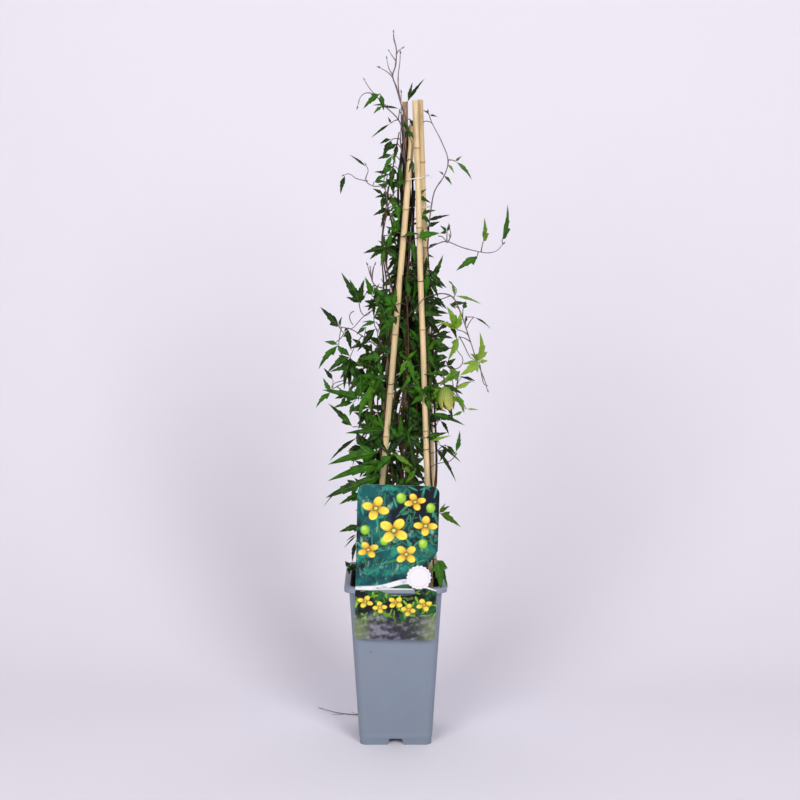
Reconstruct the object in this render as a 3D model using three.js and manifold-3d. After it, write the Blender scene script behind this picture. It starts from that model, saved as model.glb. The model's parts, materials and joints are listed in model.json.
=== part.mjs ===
// A climbing clematis in a tall square plastic pot. Its stems climb four bamboo canes and a stake in
// the middle, which two wires tie together at the top. A printed card hooks over the front of the rim.
//
// Millimetres, +Z up, the front towards -Y. The origin is the centre of the pot's foot, on the
// surface that the pot stands on.

import * as THREE from 'three';
import { mergeVertices } from 'three/addons/utils/BufferGeometryUtils.js';
import Module from 'manifold-3d';

const wasm = await Module();
wasm.setup();

// Driving dimensions

const radians = THREE.MathUtils.degToRad;
const gap = 0.3; // between pieces that touch

const pot = {
	height: 184,
	footHalf: 39.8,
	skirtTop: 6.6,
	bodyFootHalf: 40.5,
	bodyTopHalf: 51,
	rimHalf: 56,
	rimBand: 5.5,
	rimLip: 1.4,
	wall: 1.1,
	corner: 7,
	floorUnder: 8,
	floorTop: 9.8,
	centreFootHalf: 9,
	notchHeight: 7.5,
	notchTopWidth: 14,
	notchFootWidth: 20,
	drainRadius: 4,
	drainPlace: 26
};

const soil = { edge: 167, crown: 170 };

const cane = { radius: 3.1, knuckle: 0.45, knuckleHeight: 2.5, sides: 8 };

// Centre lines: foot in the soil, soil level, and the cut top.
const caneLines = {
	cane_front_left: [ [ - 31, - 31, 16 ], [ - 25.6, - 30, 165 ], [ 19.2, - 0.5, 684 ] ],
	cane_back_left: [ [ - 32, 31, 12 ], [ - 30, 32, 165 ], [ - 5, 24.5, 452 ], [ 17.5, 16, 680 ] ],
	cane_front_right: [ [ 33, - 31, 12 ], [ 38.8, - 32, 165 ], [ 20.8, - 9.5, 705 ] ],
	cane_back_right: [ [ 33, 31, 12 ], [ 44.2, 34, 165 ], [ 41, 28, 300 ], [ 26.6, 3.5, 706 ] ],
	stake_middle: [ [ 13.5, 15, 16 ], [ 13.5, 15, 165 ], [ 12.6, 13, 400 ], [ 10.4, 8, 704 ] ]
};

const caneKnuckles = {
	cane_front_left: [ 90, 214, 345, 392, 456, 590 ],
	cane_back_left: [ 70, 190, 330, 470, 610 ],
	cane_front_right: [ 110, 236, 352, 462, 571, 655 ],
	cane_back_right: [ 80, 205, 318, 437, 548, 640 ],
	stake_middle: [ 96, 232, 352, 476, 588, 668 ]
};

const wire = { radius: 0.65, sides: 4, turns: 16, twistSteps: 3 };

// Each wire's height, what it is drawn round, how much it climbs towards the right, and the stem in it.
const ties = {
	tie_upper: { height: 621.5, climb: 0.18, round: Object.keys( caneLines ) },
	tie_lower: {
		height: 592,
		climb: 0,
		round: [ 'cane_back_left', 'cane_back_right', 'stake_middle' ],
		past: [ 16.2, 6.6 ]
	}
};

const card = {
	width: 88,
	height: 172,
	thickness: 0.6,
	centre: [ 1.2, 212.7 ],
	lean: 1.5, // degrees, clockwise
	topCorner: 9,
	footCorner: 6.5,
	shoulder: [ [ 44, 14.6 ], [ 34.5, - 1.5 ] ],
	seal: [ 24.5, - 15.4, 13.9 ],
	hip: - 29.5,
	slot: [ - 21.5, 20.5 ],
	slotDrop: 9,
	tongueHalf: 19,
	tongueDrop: 14,
	fold: 2
};

const rootStrand = {
	radius: 0.7,
	sides: 4,
	step: 12,
	points: [
		[ - 26, 26, 9.3 ], [ - 26, 27, 5 ], [ - 22, 30, 2 ], [ - 10, 35, 0.9 ], [ - 3, 40, 0.9 ],
		[ - 8, 46, 0.9 ], [ - 26, 49, 0.9 ], [ - 46, 51, 1 ], [ - 68, 58, 0.9 ], [ - 92, 73, 1.6 ]
	]
};

const bud = {
	top: [ 53, - 34, 402 ],
	length: 26,
	radius: 8.6,
	lean: 8, // degrees, its mouth towards +X
	stalkRadius: 0.8,
	stalk: [ [ 42.6, - 0.9, 406 ], [ 47, - 13, 414 ], [ 51.5, - 28, 413 ], [ 53, - 34, 400 ] ]
};

// The clematis: for each stem its woody run, its side shoots, the leaves that are seen at its edge,
// and how many more grow by rule between two parts of its length, towards one side (degrees from +X).
// A leaf is its joint, its leaflets' tips and how wide they are.

const blade = {
	thickness: 0.7,
	arch: 0.06,
	valley: 1.3,
	plainWidth: 5,
	leafletRoom: radians( 46 ),
	lobeRoom: radians( 86 ),
	stalkRoom: radians( 60 ),
	stoutest: 0.15,
	seated: 3,
	stalkHalf: 0.6,
	stalkBow: 0.12,
	stalkSides: 3,
	stalkSteps: 2,
	past: 1.5,
	offCane: 5
};

const wood = { runSides: 5, runStep: 24, shootSides: 4, shootStep: 11, holeRoom: 0.66 };

// What shares out a stem's leaves evenly along it and round it.
const evenly = { along: 0.7549, around: 0.5698 };

const stems = {
	stem_middle: {
		radius: 2.1,
		run: [
			[ 6, 4, 112 ], [ 6, 4, 172 ], [ 9, 6, 250 ], [ 14, 5, 330 ], [ 15, 4, 420 ], [ 14, 4, 500 ],
			[ 15, 5, 560 ], [ 16.5, 6, 602 ]
		],
		shoots: [
			[ 1.2, [ 16.5, 6, 602 ], [ 14, 5, 622 ], [ 10.5, 3.5, 640 ], [ 9, - 1.5, 655 ], [ 10, - 7, 668 ],
				[ 12, - 9.5, 681 ], [ 6, - 10, 701 ], [ 1, - 9, 719 ], [ - 3, - 9, 730 ],
				[ 0, - 9, 741 ], [ 1, - 9, 757 ], [ - 1.5, - 9, 768 ], [ - 2, - 9, 774 ] ],
			[ 0.7, [ - 2.5, - 9, 728 ], [ - 8, - 10, 734 ], [ - 15, - 11, 738 ] ],
			[ 0.7, [ - 2.5, - 9, 731 ], [ - 7, - 8, 738 ], [ - 9, - 7, 747 ] ],
			[ 0.7, [ 0.8, - 9, 746 ], [ - 3, - 9, 750 ], [ - 6, - 8, 755 ] ],
			[ 0.7, [ 1, - 9, 753 ], [ 3, - 10, 756 ], [ 6, - 11, 758 ] ],
			[ 0.8, [ 5.5, - 10, 703 ], [ 3.5, - 7, 716 ], [ 3, - 6, 731 ], [ 4.5, - 6, 743 ], [ 5, - 6, 752 ] ],
			[ 0.8, [ 10, - 7, 668 ], [ 3, - 4, 685 ], [ - 9, - 2, 697 ], [ - 20, - 2, 709 ], [ - 27, - 2, 717 ],
				[ - 32, - 2, 725 ] ],
			[ 0.7, [ - 22, - 2, 711 ], [ - 30, - 4, 713 ], [ - 37, - 5, 709 ], [ - 40, - 4, 700 ] ],
			[ 0.8, [ 10, - 7, 668 ], [ 8, - 14, 684 ], [ 10, - 15, 697 ], [ 13, - 15, 704 ] ],
			[ 0.8, [ 10.5, 3.5, 640 ], [ 6, - 2, 655 ], [ 6, - 3, 680 ], [ 6, - 2, 712 ] ]
		],
		leaves: [
			{ at: [ - 16, - 4, 712 ], tips: [ [ - 36, - 8, 697 ], [ - 12, - 10, 694 ] ], wide: 7 },
			{ at: [ - 8, 0, 700 ], tips: [ [ - 25, 2, 700 ] ], wide: 3 },
			{ at: [ - 14, - 6, 699 ], tips: [ [ - 24, - 9, 691 ] ], wide: 4 },
			{ at: [ - 5, - 6, 681 ], tips: [ [ - 26, - 9, 665 ], [ - 8, - 8, 688 ] ], wide: 3 },
			{ at: [ - 4, - 8, 664 ], tips: [ [ - 15, - 12, 644 ], [ - 17, 2, 660 ] ], wide: 7 },
			{ at: [ 13, - 15, 704 ], tips: [ [ 19, - 17, 724 ], [ 31, - 19, 728 ] ], wide: 4 }
		],
		rule: { tries: 120, most: 13, low: 0.36, high: 0.99, side: 90, spread: 330, reach: 12, rise: 0.25,
			long: [ 19, 29 ], seed: 11 }
	},
	stem_left: {
		radius: 1.6,
		run: [
			[ - 12, - 4, 112 ], [ - 12, - 4, 172 ], [ - 22, 0, 235 ], [ - 29, 1, 300 ], [ - 26, - 1, 370 ],
			[ - 18, - 2, 440 ], [ - 13, - 1, 500 ], [ - 15, - 3, 545 ], [ - 12, - 4, 580 ], [ - 4, - 3, 604 ]
		],
		shoots: [
			[ 0.8, [ - 8, - 4, 592 ], [ - 12, - 8, 613 ], [ - 24, - 10, 615 ], [ - 32, - 10, 621 ],
				[ - 29, - 9, 631 ], [ - 31, - 8, 636 ] ],
			[ 0.7, [ - 31, - 10, 620 ], [ - 42, - 10, 623 ], [ - 49, - 10, 628 ], [ - 54, - 10, 627 ] ],
			[ 0.8, [ - 13, - 1, 505 ], [ - 22, - 4, 508 ], [ - 26, - 6, 515 ], [ - 30, - 6, 529 ] ],
			[ 0.7, [ - 26, - 6, 514 ], [ - 25, - 7, 521 ], [ - 23, - 6, 529 ] ],
			[ 0.9, [ - 18, - 2, 440 ], [ - 34, - 6, 452 ], [ - 48, - 9, 461 ], [ - 62, - 10, 464 ] ],
			[ 0.9, [ - 25, - 1, 380 ], [ - 40, - 6, 396 ], [ - 54, - 8, 402 ], [ - 69, - 12, 396 ] ]
		],
		leaves: [
			{ at: [ - 30, - 8, 635 ], tips: [ [ - 50, - 10, 648 ] ], wide: 3 },
			{ at: [ - 53, - 10, 628 ], tips: [ [ - 59, - 12, 606 ] ], wide: 6 },
			{ at: [ - 23, - 9, 619 ], tips: [ [ - 6, - 12, 629 ], [ - 9, - 14, 620 ] ], wide: 5 },
			{ at: [ - 13, - 9, 606 ], tips: [ [ - 14, - 12, 586 ], [ - 25, - 6, 612 ] ], wide: 5 },
			{ at: [ - 17, - 8, 550 ],
				tips: [ [ - 37, - 12, 542 ], [ - 23, - 12, 560 ], [ - 20, - 10, 530 ] ], wide: 7 },
			{ at: [ - 38, - 14, 490 ],
				tips: [ [ - 59, - 18, 524 ], [ - 49, - 22, 517 ], [ - 54, - 12, 497 ], [ - 34, - 18, 517 ] ], wide: 8 },
			{ at: [ - 60, - 10, 465 ], tips: [ [ - 82, - 12, 486 ], [ - 58, - 16, 476 ] ], wide: 8 },
			{ at: [ - 62, - 8, 444 ],
				tips: [ [ - 86, - 10, 417 ], [ - 78, - 2, 447 ], [ - 57, - 14, 432 ] ], wide: 8 },
			{ at: [ - 49, - 16, 432 ],
				tips: [ [ - 76, - 20, 417 ], [ - 55, - 24, 396 ], [ - 40, - 22, 397 ], [ - 64, - 6, 444 ] ], wide: 9 },
			{ at: [ - 70, - 14, 393 ], tips: [ [ - 89, - 16, 376 ], [ - 79, - 14, 409 ] ], wide: 7 },
			{ at: [ - 62, - 20, 384 ], tips: [ [ - 45, - 24, 353 ], [ - 74, - 24, 372 ] ], wide: 8 },
			{ at: [ - 34, - 12, 354 ],
				tips: [ [ - 57, - 18, 350 ], [ - 42, - 20, 334 ], [ - 48, - 4, 366 ] ], wide: 8 },
			{ at: [ - 39, - 12, 330 ], tips: [ [ - 75, - 18, 316 ], [ - 57, - 4, 336 ] ], wide: 9 },
			{ at: [ - 40, - 22, 312 ],
				tips: [ [ - 76, - 26, 296 ], [ - 66, - 14, 312 ], [ - 50, - 32, 290 ] ], wide: 9 },
			{ at: [ - 46, - 14, 294 ], tips: [ [ - 79, - 20, 277 ], [ - 64, - 28, 262 ] ], wide: 8 },
			{ at: [ - 38, - 6, 262 ], tips: [ [ - 63, - 14, 236 ], [ - 58, - 20, 222 ], [ - 60, 4, 250 ] ], wide: 8 }
		],
		rule: { tries: 70, most: 10, low: 0.2, high: 0.9, side: 180, spread: 190, reach: 22, rise: 0,
			long: [ 24, 36 ], seed: 23 }
	},
	stem_right: {
		radius: 1.7,
		run: [
			[ 22, 2, 112 ], [ 22, 2, 172 ], [ 36, 2, 235 ], [ 45, 1, 300 ], [ 43, 1, 370 ], [ 40, 1, 440 ],
			[ 38, 0, 500 ], [ 35, - 2, 545 ], [ 36, - 4, 572 ]
		],
		shoots: [
			[ 0.8, [ 35, - 2, 548 ], [ 48, - 12, 555 ], [ 56, - 14, 556 ], [ 71, - 14, 550 ], [ 86, - 14, 546 ],
				[ 98, - 14, 544 ], [ 108, - 14, 546 ], [ 115, - 14, 553 ] ],
			[ 0.7, [ 56, - 14, 556 ], [ 59, - 16, 562 ], [ 58, - 17, 571 ] ],
			[ 0.8, [ 36, - 4, 571 ], [ 38, - 5, 590 ], [ 42, - 7, 610 ], [ 52, - 8, 626 ], [ 56, - 8, 643 ],
				[ 48, - 7, 664 ], [ 39, - 6, 681 ], [ 35, - 7, 692 ] ],
			[ 0.9, [ 38, 0, 496 ], [ 50, - 10, 500 ], [ 62, - 12, 496 ], [ 70, - 16, 480 ], [ 80, - 20, 452 ],
				[ 88, - 24, 428 ], [ 96, - 24, 408 ], [ 99, - 24, 398 ] ],
			[ 0.9, [ 43, 1, 372 ], [ 52, - 12, 386 ], [ 60, - 22, 396 ], [ 66, - 26, 400 ] ],
			[ 0.7, [ 63, - 11, 495 ], [ 66, - 8, 504 ], [ 61, - 8, 510 ] ]
		],
		leaves: [
			{ at: [ 114, - 14, 558 ], tips: [ [ 121, - 16, 596 ], [ 120, - 18, 566 ] ], wide: 8 },
			{ at: [ 94, - 14, 556 ], tips: [ [ 94, - 16, 582 ], [ 99, - 18, 562 ] ], wide: 8 },
			{ at: [ 88, - 14, 541 ], tips: [ [ 64, - 16, 526 ], [ 82, - 18, 534 ] ], wide: 8 },
			{ at: [ 64, - 10, 641 ], tips: [ [ 83, - 12, 622 ], [ 70, - 14, 647 ] ], wide: 6 },
			{ at: [ 58, - 9, 638 ], tips: [ [ 63, - 12, 628 ] ], wide: 4 },
			{ at: [ 52, - 8, 626 ], tips: [ [ 61, - 10, 616 ], [ 46, - 10, 631 ] ], wide: 4 },
			{ at: [ 37, - 7, 690 ], tips: [ [ 45, - 8, 688 ], [ 29, - 16, 694 ] ], wide: 4 },
			{ at: [ 42, - 10, 577 ], tips: [ [ 61, - 12, 585 ], [ 57, - 14, 576 ] ], wide: 7 },
			{ at: [ 40, - 14, 562 ], tips: [ [ 62, - 18, 568 ], [ 54, - 22, 574 ], [ 12, - 26, 563 ] ], wide: 8 },
			{ at: [ 42, - 12, 518 ], tips: [ [ 55, - 16, 545 ], [ 56, - 18, 508 ], [ 44, - 20, 498 ] ], wide: 8 },
			{ at: [ 64, - 12, 498 ], tips: [ [ 94, - 14, 490 ], [ 60, - 14, 514 ] ], wide: 4 },
			{ at: [ 62, - 16, 488 ], tips: [ [ 84, - 20, 492 ], [ 64, - 22, 470 ], [ 48, - 24, 484 ] ], wide: 7 },
			{ at: [ 76, - 19, 470 ],
				tips: [ [ 104, - 22, 461 ], [ 60, - 24, 484 ], [ 70, - 26, 456 ], [ 88, - 12, 478 ] ], wide: 7 },
			{ at: [ 86, - 24, 430 ],
				tips: [ [ 94, - 26, 464 ], [ 68, - 30, 420 ], [ 102, - 26, 428 ], [ 78, - 18, 446 ],
					[ 70, - 26, 412 ] ], wide: 9 },
			{ at: [ 64, - 24.8, 398.6 ],
				tips: [ [ 86, - 30, 408 ], [ 76, - 28, 368 ], [ 84, - 22, 392 ] ], wide: 9 },
			{ at: [ 60, - 20, 384 ], tips: [ [ 95, - 26, 376 ], [ 76, - 10, 392 ] ], wide: 5 },
			{ at: [ 46, - 20, 372 ], tips: [ [ 79, - 24, 357 ], [ 56, - 30, 348 ] ], wide: 9 },
			{ at: [ 52, - 14, 345 ],
				tips: [ [ 75, - 18, 318 ], [ 64, - 22, 297 ], [ 72, - 8, 342 ], [ 44, - 34, 336 ] ], wide: 8 },
			{ at: [ 66, - 6, 324 ], tips: [ [ 71, - 10, 350 ] ], wide: 6 },
			{ at: [ 50, - 6, 262 ], tips: [ [ 74, - 14, 241 ], [ 62, 4, 268 ], [ 54, - 14, 280 ] ], wide: 8 },
			{ at: [ 48, - 24, 220 ], tips: [ [ 62, - 30, 190 ], [ 64, - 20, 208 ], [ 50, - 34, 196 ] ], wide: 8 }
		],
		rule: { tries: 70, most: 9, low: 0.2, high: 0.9, side: 0, spread: 190, reach: 22, rise: 0,
			long: [ 24, 36 ], seed: 37 }
	},
	stem_front: {
		radius: 1.4,
		run: [
			[ 6, - 18, 112 ], [ 6, - 18, 172 ], [ 8, - 17, 240 ], [ 6, - 13, 310 ], [ 8, - 11, 380 ],
			[ 12, - 9, 450 ], [ 13, - 6, 510 ], [ 15.5, - 4, 560 ]
		],
		shoots: [],
		leaves: [
			{ at: [ - 2, - 30, 488 ],
				tips: [ [ - 24, - 32, 508 ], [ - 14, - 38, 480 ], [ 2, - 36, 508 ] ], wide: 10 },
			{ at: [ 13, - 20, 430 ], tips: [ [ 4, - 26, 410 ], [ 20, - 26, 406 ], [ 23, - 22, 440 ] ], wide: 9 },
			{ at: [ 13, - 25, 350 ], tips: [ [ - 2, - 31, 332 ], [ 18, - 34, 322 ], [ 25, - 27, 364 ] ], wide: 9 }
		],
		rule: { tries: 260, most: 14, low: 0.24, high: 0.97, side: 270, spread: 200, reach: 12, rise: 0.1,
			long: [ 17, 27 ], seed: 41 }
	},
	stem_back: {
		radius: 1.5,
		run: [
			[ 4, 22, 112 ], [ 4, 22, 172 ], [ 8, 38, 240 ], [ 8, 42, 310 ], [ 8, 36, 380 ],
			[ 12, 30, 450 ], [ 16, 24, 510 ], [ 19, 19, 570 ]
		],
		shoots: [],
		leaves: [],
		rule: { tries: 90, most: 16, low: 0.22, high: 0.97, side: 90, spread: 210, reach: 16, rise: 0.05,
			long: [ 24, 36 ], seed: 59 }
	}
};

// Helpers

const vector = ( place ) => new THREE.Vector3( ...place );

// Shared vertices merged, and triangles with no area dropped.
function weld( geometry ) {

	const bare = geometry.clone();
	bare.deleteAttribute( 'normal' );
	bare.deleteAttribute( 'uv' );
	const welded = mergeVertices( bare, 1e-4 );
	const corners = welded.index.array;
	const kept = [];
	for ( let i = 0; i < corners.length; i += 3 ) {

		const [ a, b, c ] = corners.slice( i, i + 3 );
		if ( a !== b && b !== c && c !== a ) kept.push( a, b, c );

	}

	welded.setIndex( kept );
	return welded;

}

function toSolid( geometry ) {

	const welded = weld( geometry );
	return new wasm.Manifold( new wasm.Mesh( {
		numProp: 3,
		vertProperties: new Float32Array( welded.attributes.position.array ),
		triVerts: new Uint32Array( welded.index.array )
	} ) );

}

function toGeometry( solid ) {

	const { vertProperties, triVerts } = solid.getMesh();
	const geometry = new THREE.BufferGeometry();
	geometry.setAttribute( 'position', new THREE.BufferAttribute( vertProperties, 3 ) );
	geometry.setIndex( new THREE.BufferAttribute( triVerts, 1 ) );
	geometry.computeVertexNormals();
	return geometry;

}

function moveVertices( geometry, move ) {

	const position = geometry.attributes.position;
	const point = new THREE.Vector3();
	for ( let i = 0; i < position.count; i ++ ) {

		point.fromBufferAttribute( position, i );
		move( point, i );
		position.setXYZ( i, point.x, point.y, point.z );

	}

	return geometry;

}

// A profile of half widths and heights, turned about the axis as a square with round corners.
function squareTurned( profile, corner, cornerSteps ) {

	const sides = 4 * ( cornerSteps + 1 );
	const points = profile.map( ( [ half, z ] ) => new THREE.Vector2( half, z ) );
	const geometry = new THREE.LatheGeometry( points, sides ).rotateX( Math.PI / 2 );
	return moveVertices( geometry, ( point, i ) => {

		const ring = Math.floor( i / points.length ) % sides;
		const half = points[ i % points.length ].x;
		const radius = Math.min( corner, half );
		const quarter = Math.floor( ring / ( cornerSteps + 1 ) );
		const turn = ( quarter + ( ring % ( cornerSteps + 1 ) ) / cornerSteps ) * Math.PI / 2;
		const middle = ( quarter + 0.5 ) * Math.PI / 2;
		const centre = ( half - radius ) * Math.SQRT2;
		point.x = centre * Math.cos( middle ) + radius * Math.cos( turn );
		point.y = centre * Math.sin( middle ) + radius * Math.sin( turn );

	} );

}

// Where a line of points stands at a height.
function lineAt( points, z ) {

	let i = 1;
	while ( i < points.length - 1 && points[ i ][ 2 ] < z ) i ++;
	const [ low, high ] = [ points[ i - 1 ], points[ i ] ];
	const t = ( z - low[ 2 ] ) / ( high[ 2 ] - low[ 2 ] );
	return [ low[ 0 ] + t * ( high[ 0 ] - low[ 0 ] ), low[ 1 ] + t * ( high[ 1 ] - low[ 1 ] ) ];

}

const curveOf = ( points ) => new THREE.CatmullRomCurve3( points.map( vector ), false, 'catmullrom', 0.5 );

const stepsOf = ( curve, stepLength ) => Math.max( 2, Math.round( curve.getLength() / stepLength ) );

// A round rod along a curve.
function rod( curve, radius, sides, steps ) {

	const section = new THREE.Shape();
	for ( let i = 0; i < sides; i ++ ) {

		const turn = i / sides * 2 * Math.PI;
		const place = [ radius * Math.cos( turn ), radius * Math.sin( turn ) ];
		if ( i === 0 ) section.moveTo( ...place );
		else section.lineTo( ...place );

	}

	return new THREE.ExtrudeGeometry( section, { steps, extrudePath: curve, bevelEnabled: false } );

}

function randomFrom( seed ) {

	let state = seed;
	return () => {

		state = ( state + 0x6D2B79F5 ) | 0;
		let value = Math.imul( state ^ ( state >>> 15 ), 1 | state );
		value = ( value + Math.imul( value ^ ( value >>> 7 ), 61 | value ) ) ^ value;
		return ( ( value ^ ( value >>> 14 ) ) >>> 0 ) / 4294967296;

	};

}

// Pot

function innerHalf( z ) {

	const { bodyFootHalf, bodyTopHalf, wall, skirtTop, height } = pot;
	return bodyFootHalf - wall + ( bodyTopHalf - bodyFootHalf ) * ( z - skirtTop ) / ( height - skirtTop );

}

function makePot() {

	const { height, footHalf, skirtTop, bodyFootHalf, bodyTopHalf, rimHalf, rimBand, rimLip, wall } = pot;
	const { floorUnder, floorTop, centreFootHalf } = pot;
	const skirtInner = footHalf - 1.8;
	const bandFoot = height - rimBand;
	const shell = toSolid( squareTurned( [
		[ 0, 0 ],
		[ centreFootHalf, 0 ],
		[ centreFootHalf - 1, floorUnder ],
		[ skirtInner + 0.4, floorUnder ],
		[ skirtInner, 0 ],
		[ footHalf, 0 ],
		[ footHalf + 0.2, skirtTop ],
		[ bodyFootHalf, skirtTop + 0.6 ],
		[ bodyTopHalf, height - rimLip - 0.4 ],
		[ rimHalf - rimLip, height - rimLip - 0.4 ],
		[ rimHalf - rimLip, bandFoot ],
		[ rimHalf, bandFoot ],
		[ rimHalf, height - 0.8 ],
		[ rimHalf - 0.8, height ],
		[ innerHalf( height ), height ],
		[ innerHalf( floorTop ), floorTop ],
		[ 0, floorTop ]
	], pot.corner, 2 ) );
	return cutFoot( shell );

}

// The notch in the middle of each side of the foot, and the drain holes by the corners.
function cutFoot( shell ) {

	const { notchHeight, notchTopWidth, notchFootWidth, footHalf, drainRadius, drainPlace } = pot;
	const notch = new THREE.Shape();
	notch.moveTo( - notchFootWidth / 2, - 1 );
	notch.lineTo( notchFootWidth / 2, - 1 );
	notch.lineTo( notchFootWidth / 2, 0 );
	notch.quadraticCurveTo( notchTopWidth / 2 + 1, 0.6, notchTopWidth / 2, notchHeight );
	notch.lineTo( - notchTopWidth / 2, notchHeight );
	notch.quadraticCurveTo( - notchTopWidth / 2 - 1, 0.6, - notchFootWidth / 2, 0 );
	const depth = 6;
	const notchCut = new THREE.ExtrudeGeometry( notch, { depth, bevelEnabled: false, curveSegments: 4 } );
	notchCut.rotateX( Math.PI / 2 );
	notchCut.translate( 0, - footHalf + depth - 3, 0 );
	const drain = new THREE.CylinderGeometry( drainRadius, drainRadius, 8, 12 ).rotateX( Math.PI / 2 );
	drain.translate( drainPlace, drainPlace, pot.floorTop );

	let cut = shell;
	for ( let side = 0; side < 4; side ++ ) {

		cut = cut.subtract( toSolid( notchCut.clone().rotateZ( side * Math.PI / 2 ) ) );
		cut = cut.subtract( toSolid( drain.clone().rotateZ( side * Math.PI / 2 ) ) );

	}

	return cut;

}

// Bamboo canes, each a lathe turned about the axis and then leant along its centre line

function makeCane( name, extra = 0 ) {

	const line = caneLines[ name ];
	const foot = line[ 0 ][ 2 ] - extra;
	const top = line.at( - 1 )[ 2 ] + extra;
	const radius = cane.radius + extra;
	const profile = [ [ 0, foot ], [ radius, foot ] ];
	const heights = [ ...caneKnuckles[ name ], ...line.slice( 1, - 1 ).map( ( point ) => point[ 2 ] ) ];
	for ( const z of heights.sort( ( a, b ) => a - b ) ) {

		const isKnuckle = caneKnuckles[ name ].includes( z );
		if ( isKnuckle ) profile.push( [ radius, z - cane.knuckleHeight ], [ radius + cane.knuckle, z ] );
		else profile.push( [ radius, z ] );

	}

	profile.push( [ radius, top ], [ 0, top ] );
	const points = profile.map( ( [ r, z ] ) => new THREE.Vector2( r, z ) );
	const geometry = new THREE.LatheGeometry( points, cane.sides ).rotateX( Math.PI / 2 );
	return toSolid( moveVertices( geometry, ( point ) => {

		const [ x, y ] = lineAt( line, point.z );
		point.x += x;
		point.y += y;

	} ) );

}

// Wire ties, each drawn taut round the canes, with a short twisted end

function makeTie( { height: z, climb, round, past } ) {

	const centres = round.map( ( name ) => lineAt( caneLines[ name ], z ) );
	if ( past ) centres.push( past );
	const middle = lineAt( caneLines.stake_middle, z );
	const reach = cane.radius + cane.knuckle + gap + wire.radius;
	const profile = [];
	for ( let i = 0; i <= wire.sides; i ++ ) {

		const turn = i / wire.sides * 2 * Math.PI;
		const [ out, up ] = [ Math.cos( turn ), Math.sin( turn ) ];
		profile.push( new THREE.Vector2( reach + wire.radius * out, wire.radius * up ) );

	}

	const ring = new THREE.LatheGeometry( profile, wire.turns ).rotateX( Math.PI / 2 );
	moveVertices( ring, ( point ) => {

		const length = Math.hypot( point.x, point.y );
		const [ ux, uy ] = [ point.x / length, point.y / length ];
		const outermost = ( best, centre ) =>
			centre[ 0 ] * ux + centre[ 1 ] * uy > best[ 0 ] * ux + best[ 1 ] * uy + 1e-6 ? centre : best;
		const [ x, y ] = centres.reduce( outermost );
		point.x += x;
		point.y += y;
		point.z += z + climb * ( point.x - middle[ 0 ] );

	} );

	const [ x, y ] = lineAt( caneLines.cane_back_right, z );
	const end = z + climb * ( x + reach - middle[ 0 ] );
	const twist = curveOf( [
		[ x + reach * 0.9, y - reach * 0.45, end ],
		[ x + reach + 2, y - reach, end + 1 ],
		[ x + reach + 4, y - reach - 2, end - 3 ]
	] );
	return toSolid( ring ).add( toSolid( rod( twist, wire.radius, wire.sides, wire.twistSteps ) ) );

}

// Soil, with a plain hole for each cane and stem

function makeSoil() {

	const foot = pot.floorTop + gap;
	let body = toSolid( squareTurned( [
		[ 0, foot ],
		[ innerHalf( foot ) - gap, foot ],
		[ innerHalf( soil.edge ) - gap, soil.edge ],
		[ 34, soil.edge + 2 ],
		[ 16, soil.crown ],
		[ 0, soil.crown - 0.5 ]
	], pot.corner - 0.5, 2 ) );
	for ( const name of Object.keys( caneLines ) ) body = body.subtract( makeCane( name, gap ) );
	for ( const { radius, run } of Object.values( stems ) ) {

		const [ x, y, z ] = run[ 0 ];
		const hole = curveOf( [ [ x, y, z - gap ], ...run.slice( 1, 4 ) ] );
		const steps = stepsOf( hole, wood.runStep );
		body = body.subtract( toSolid( rod( hole, radius + wood.holeRoom, wood.runSides, steps ) ) );

	}

	return body;

}

// Card, cut to a shoulder and a round seal at its right, with a tongue over the rim

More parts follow.
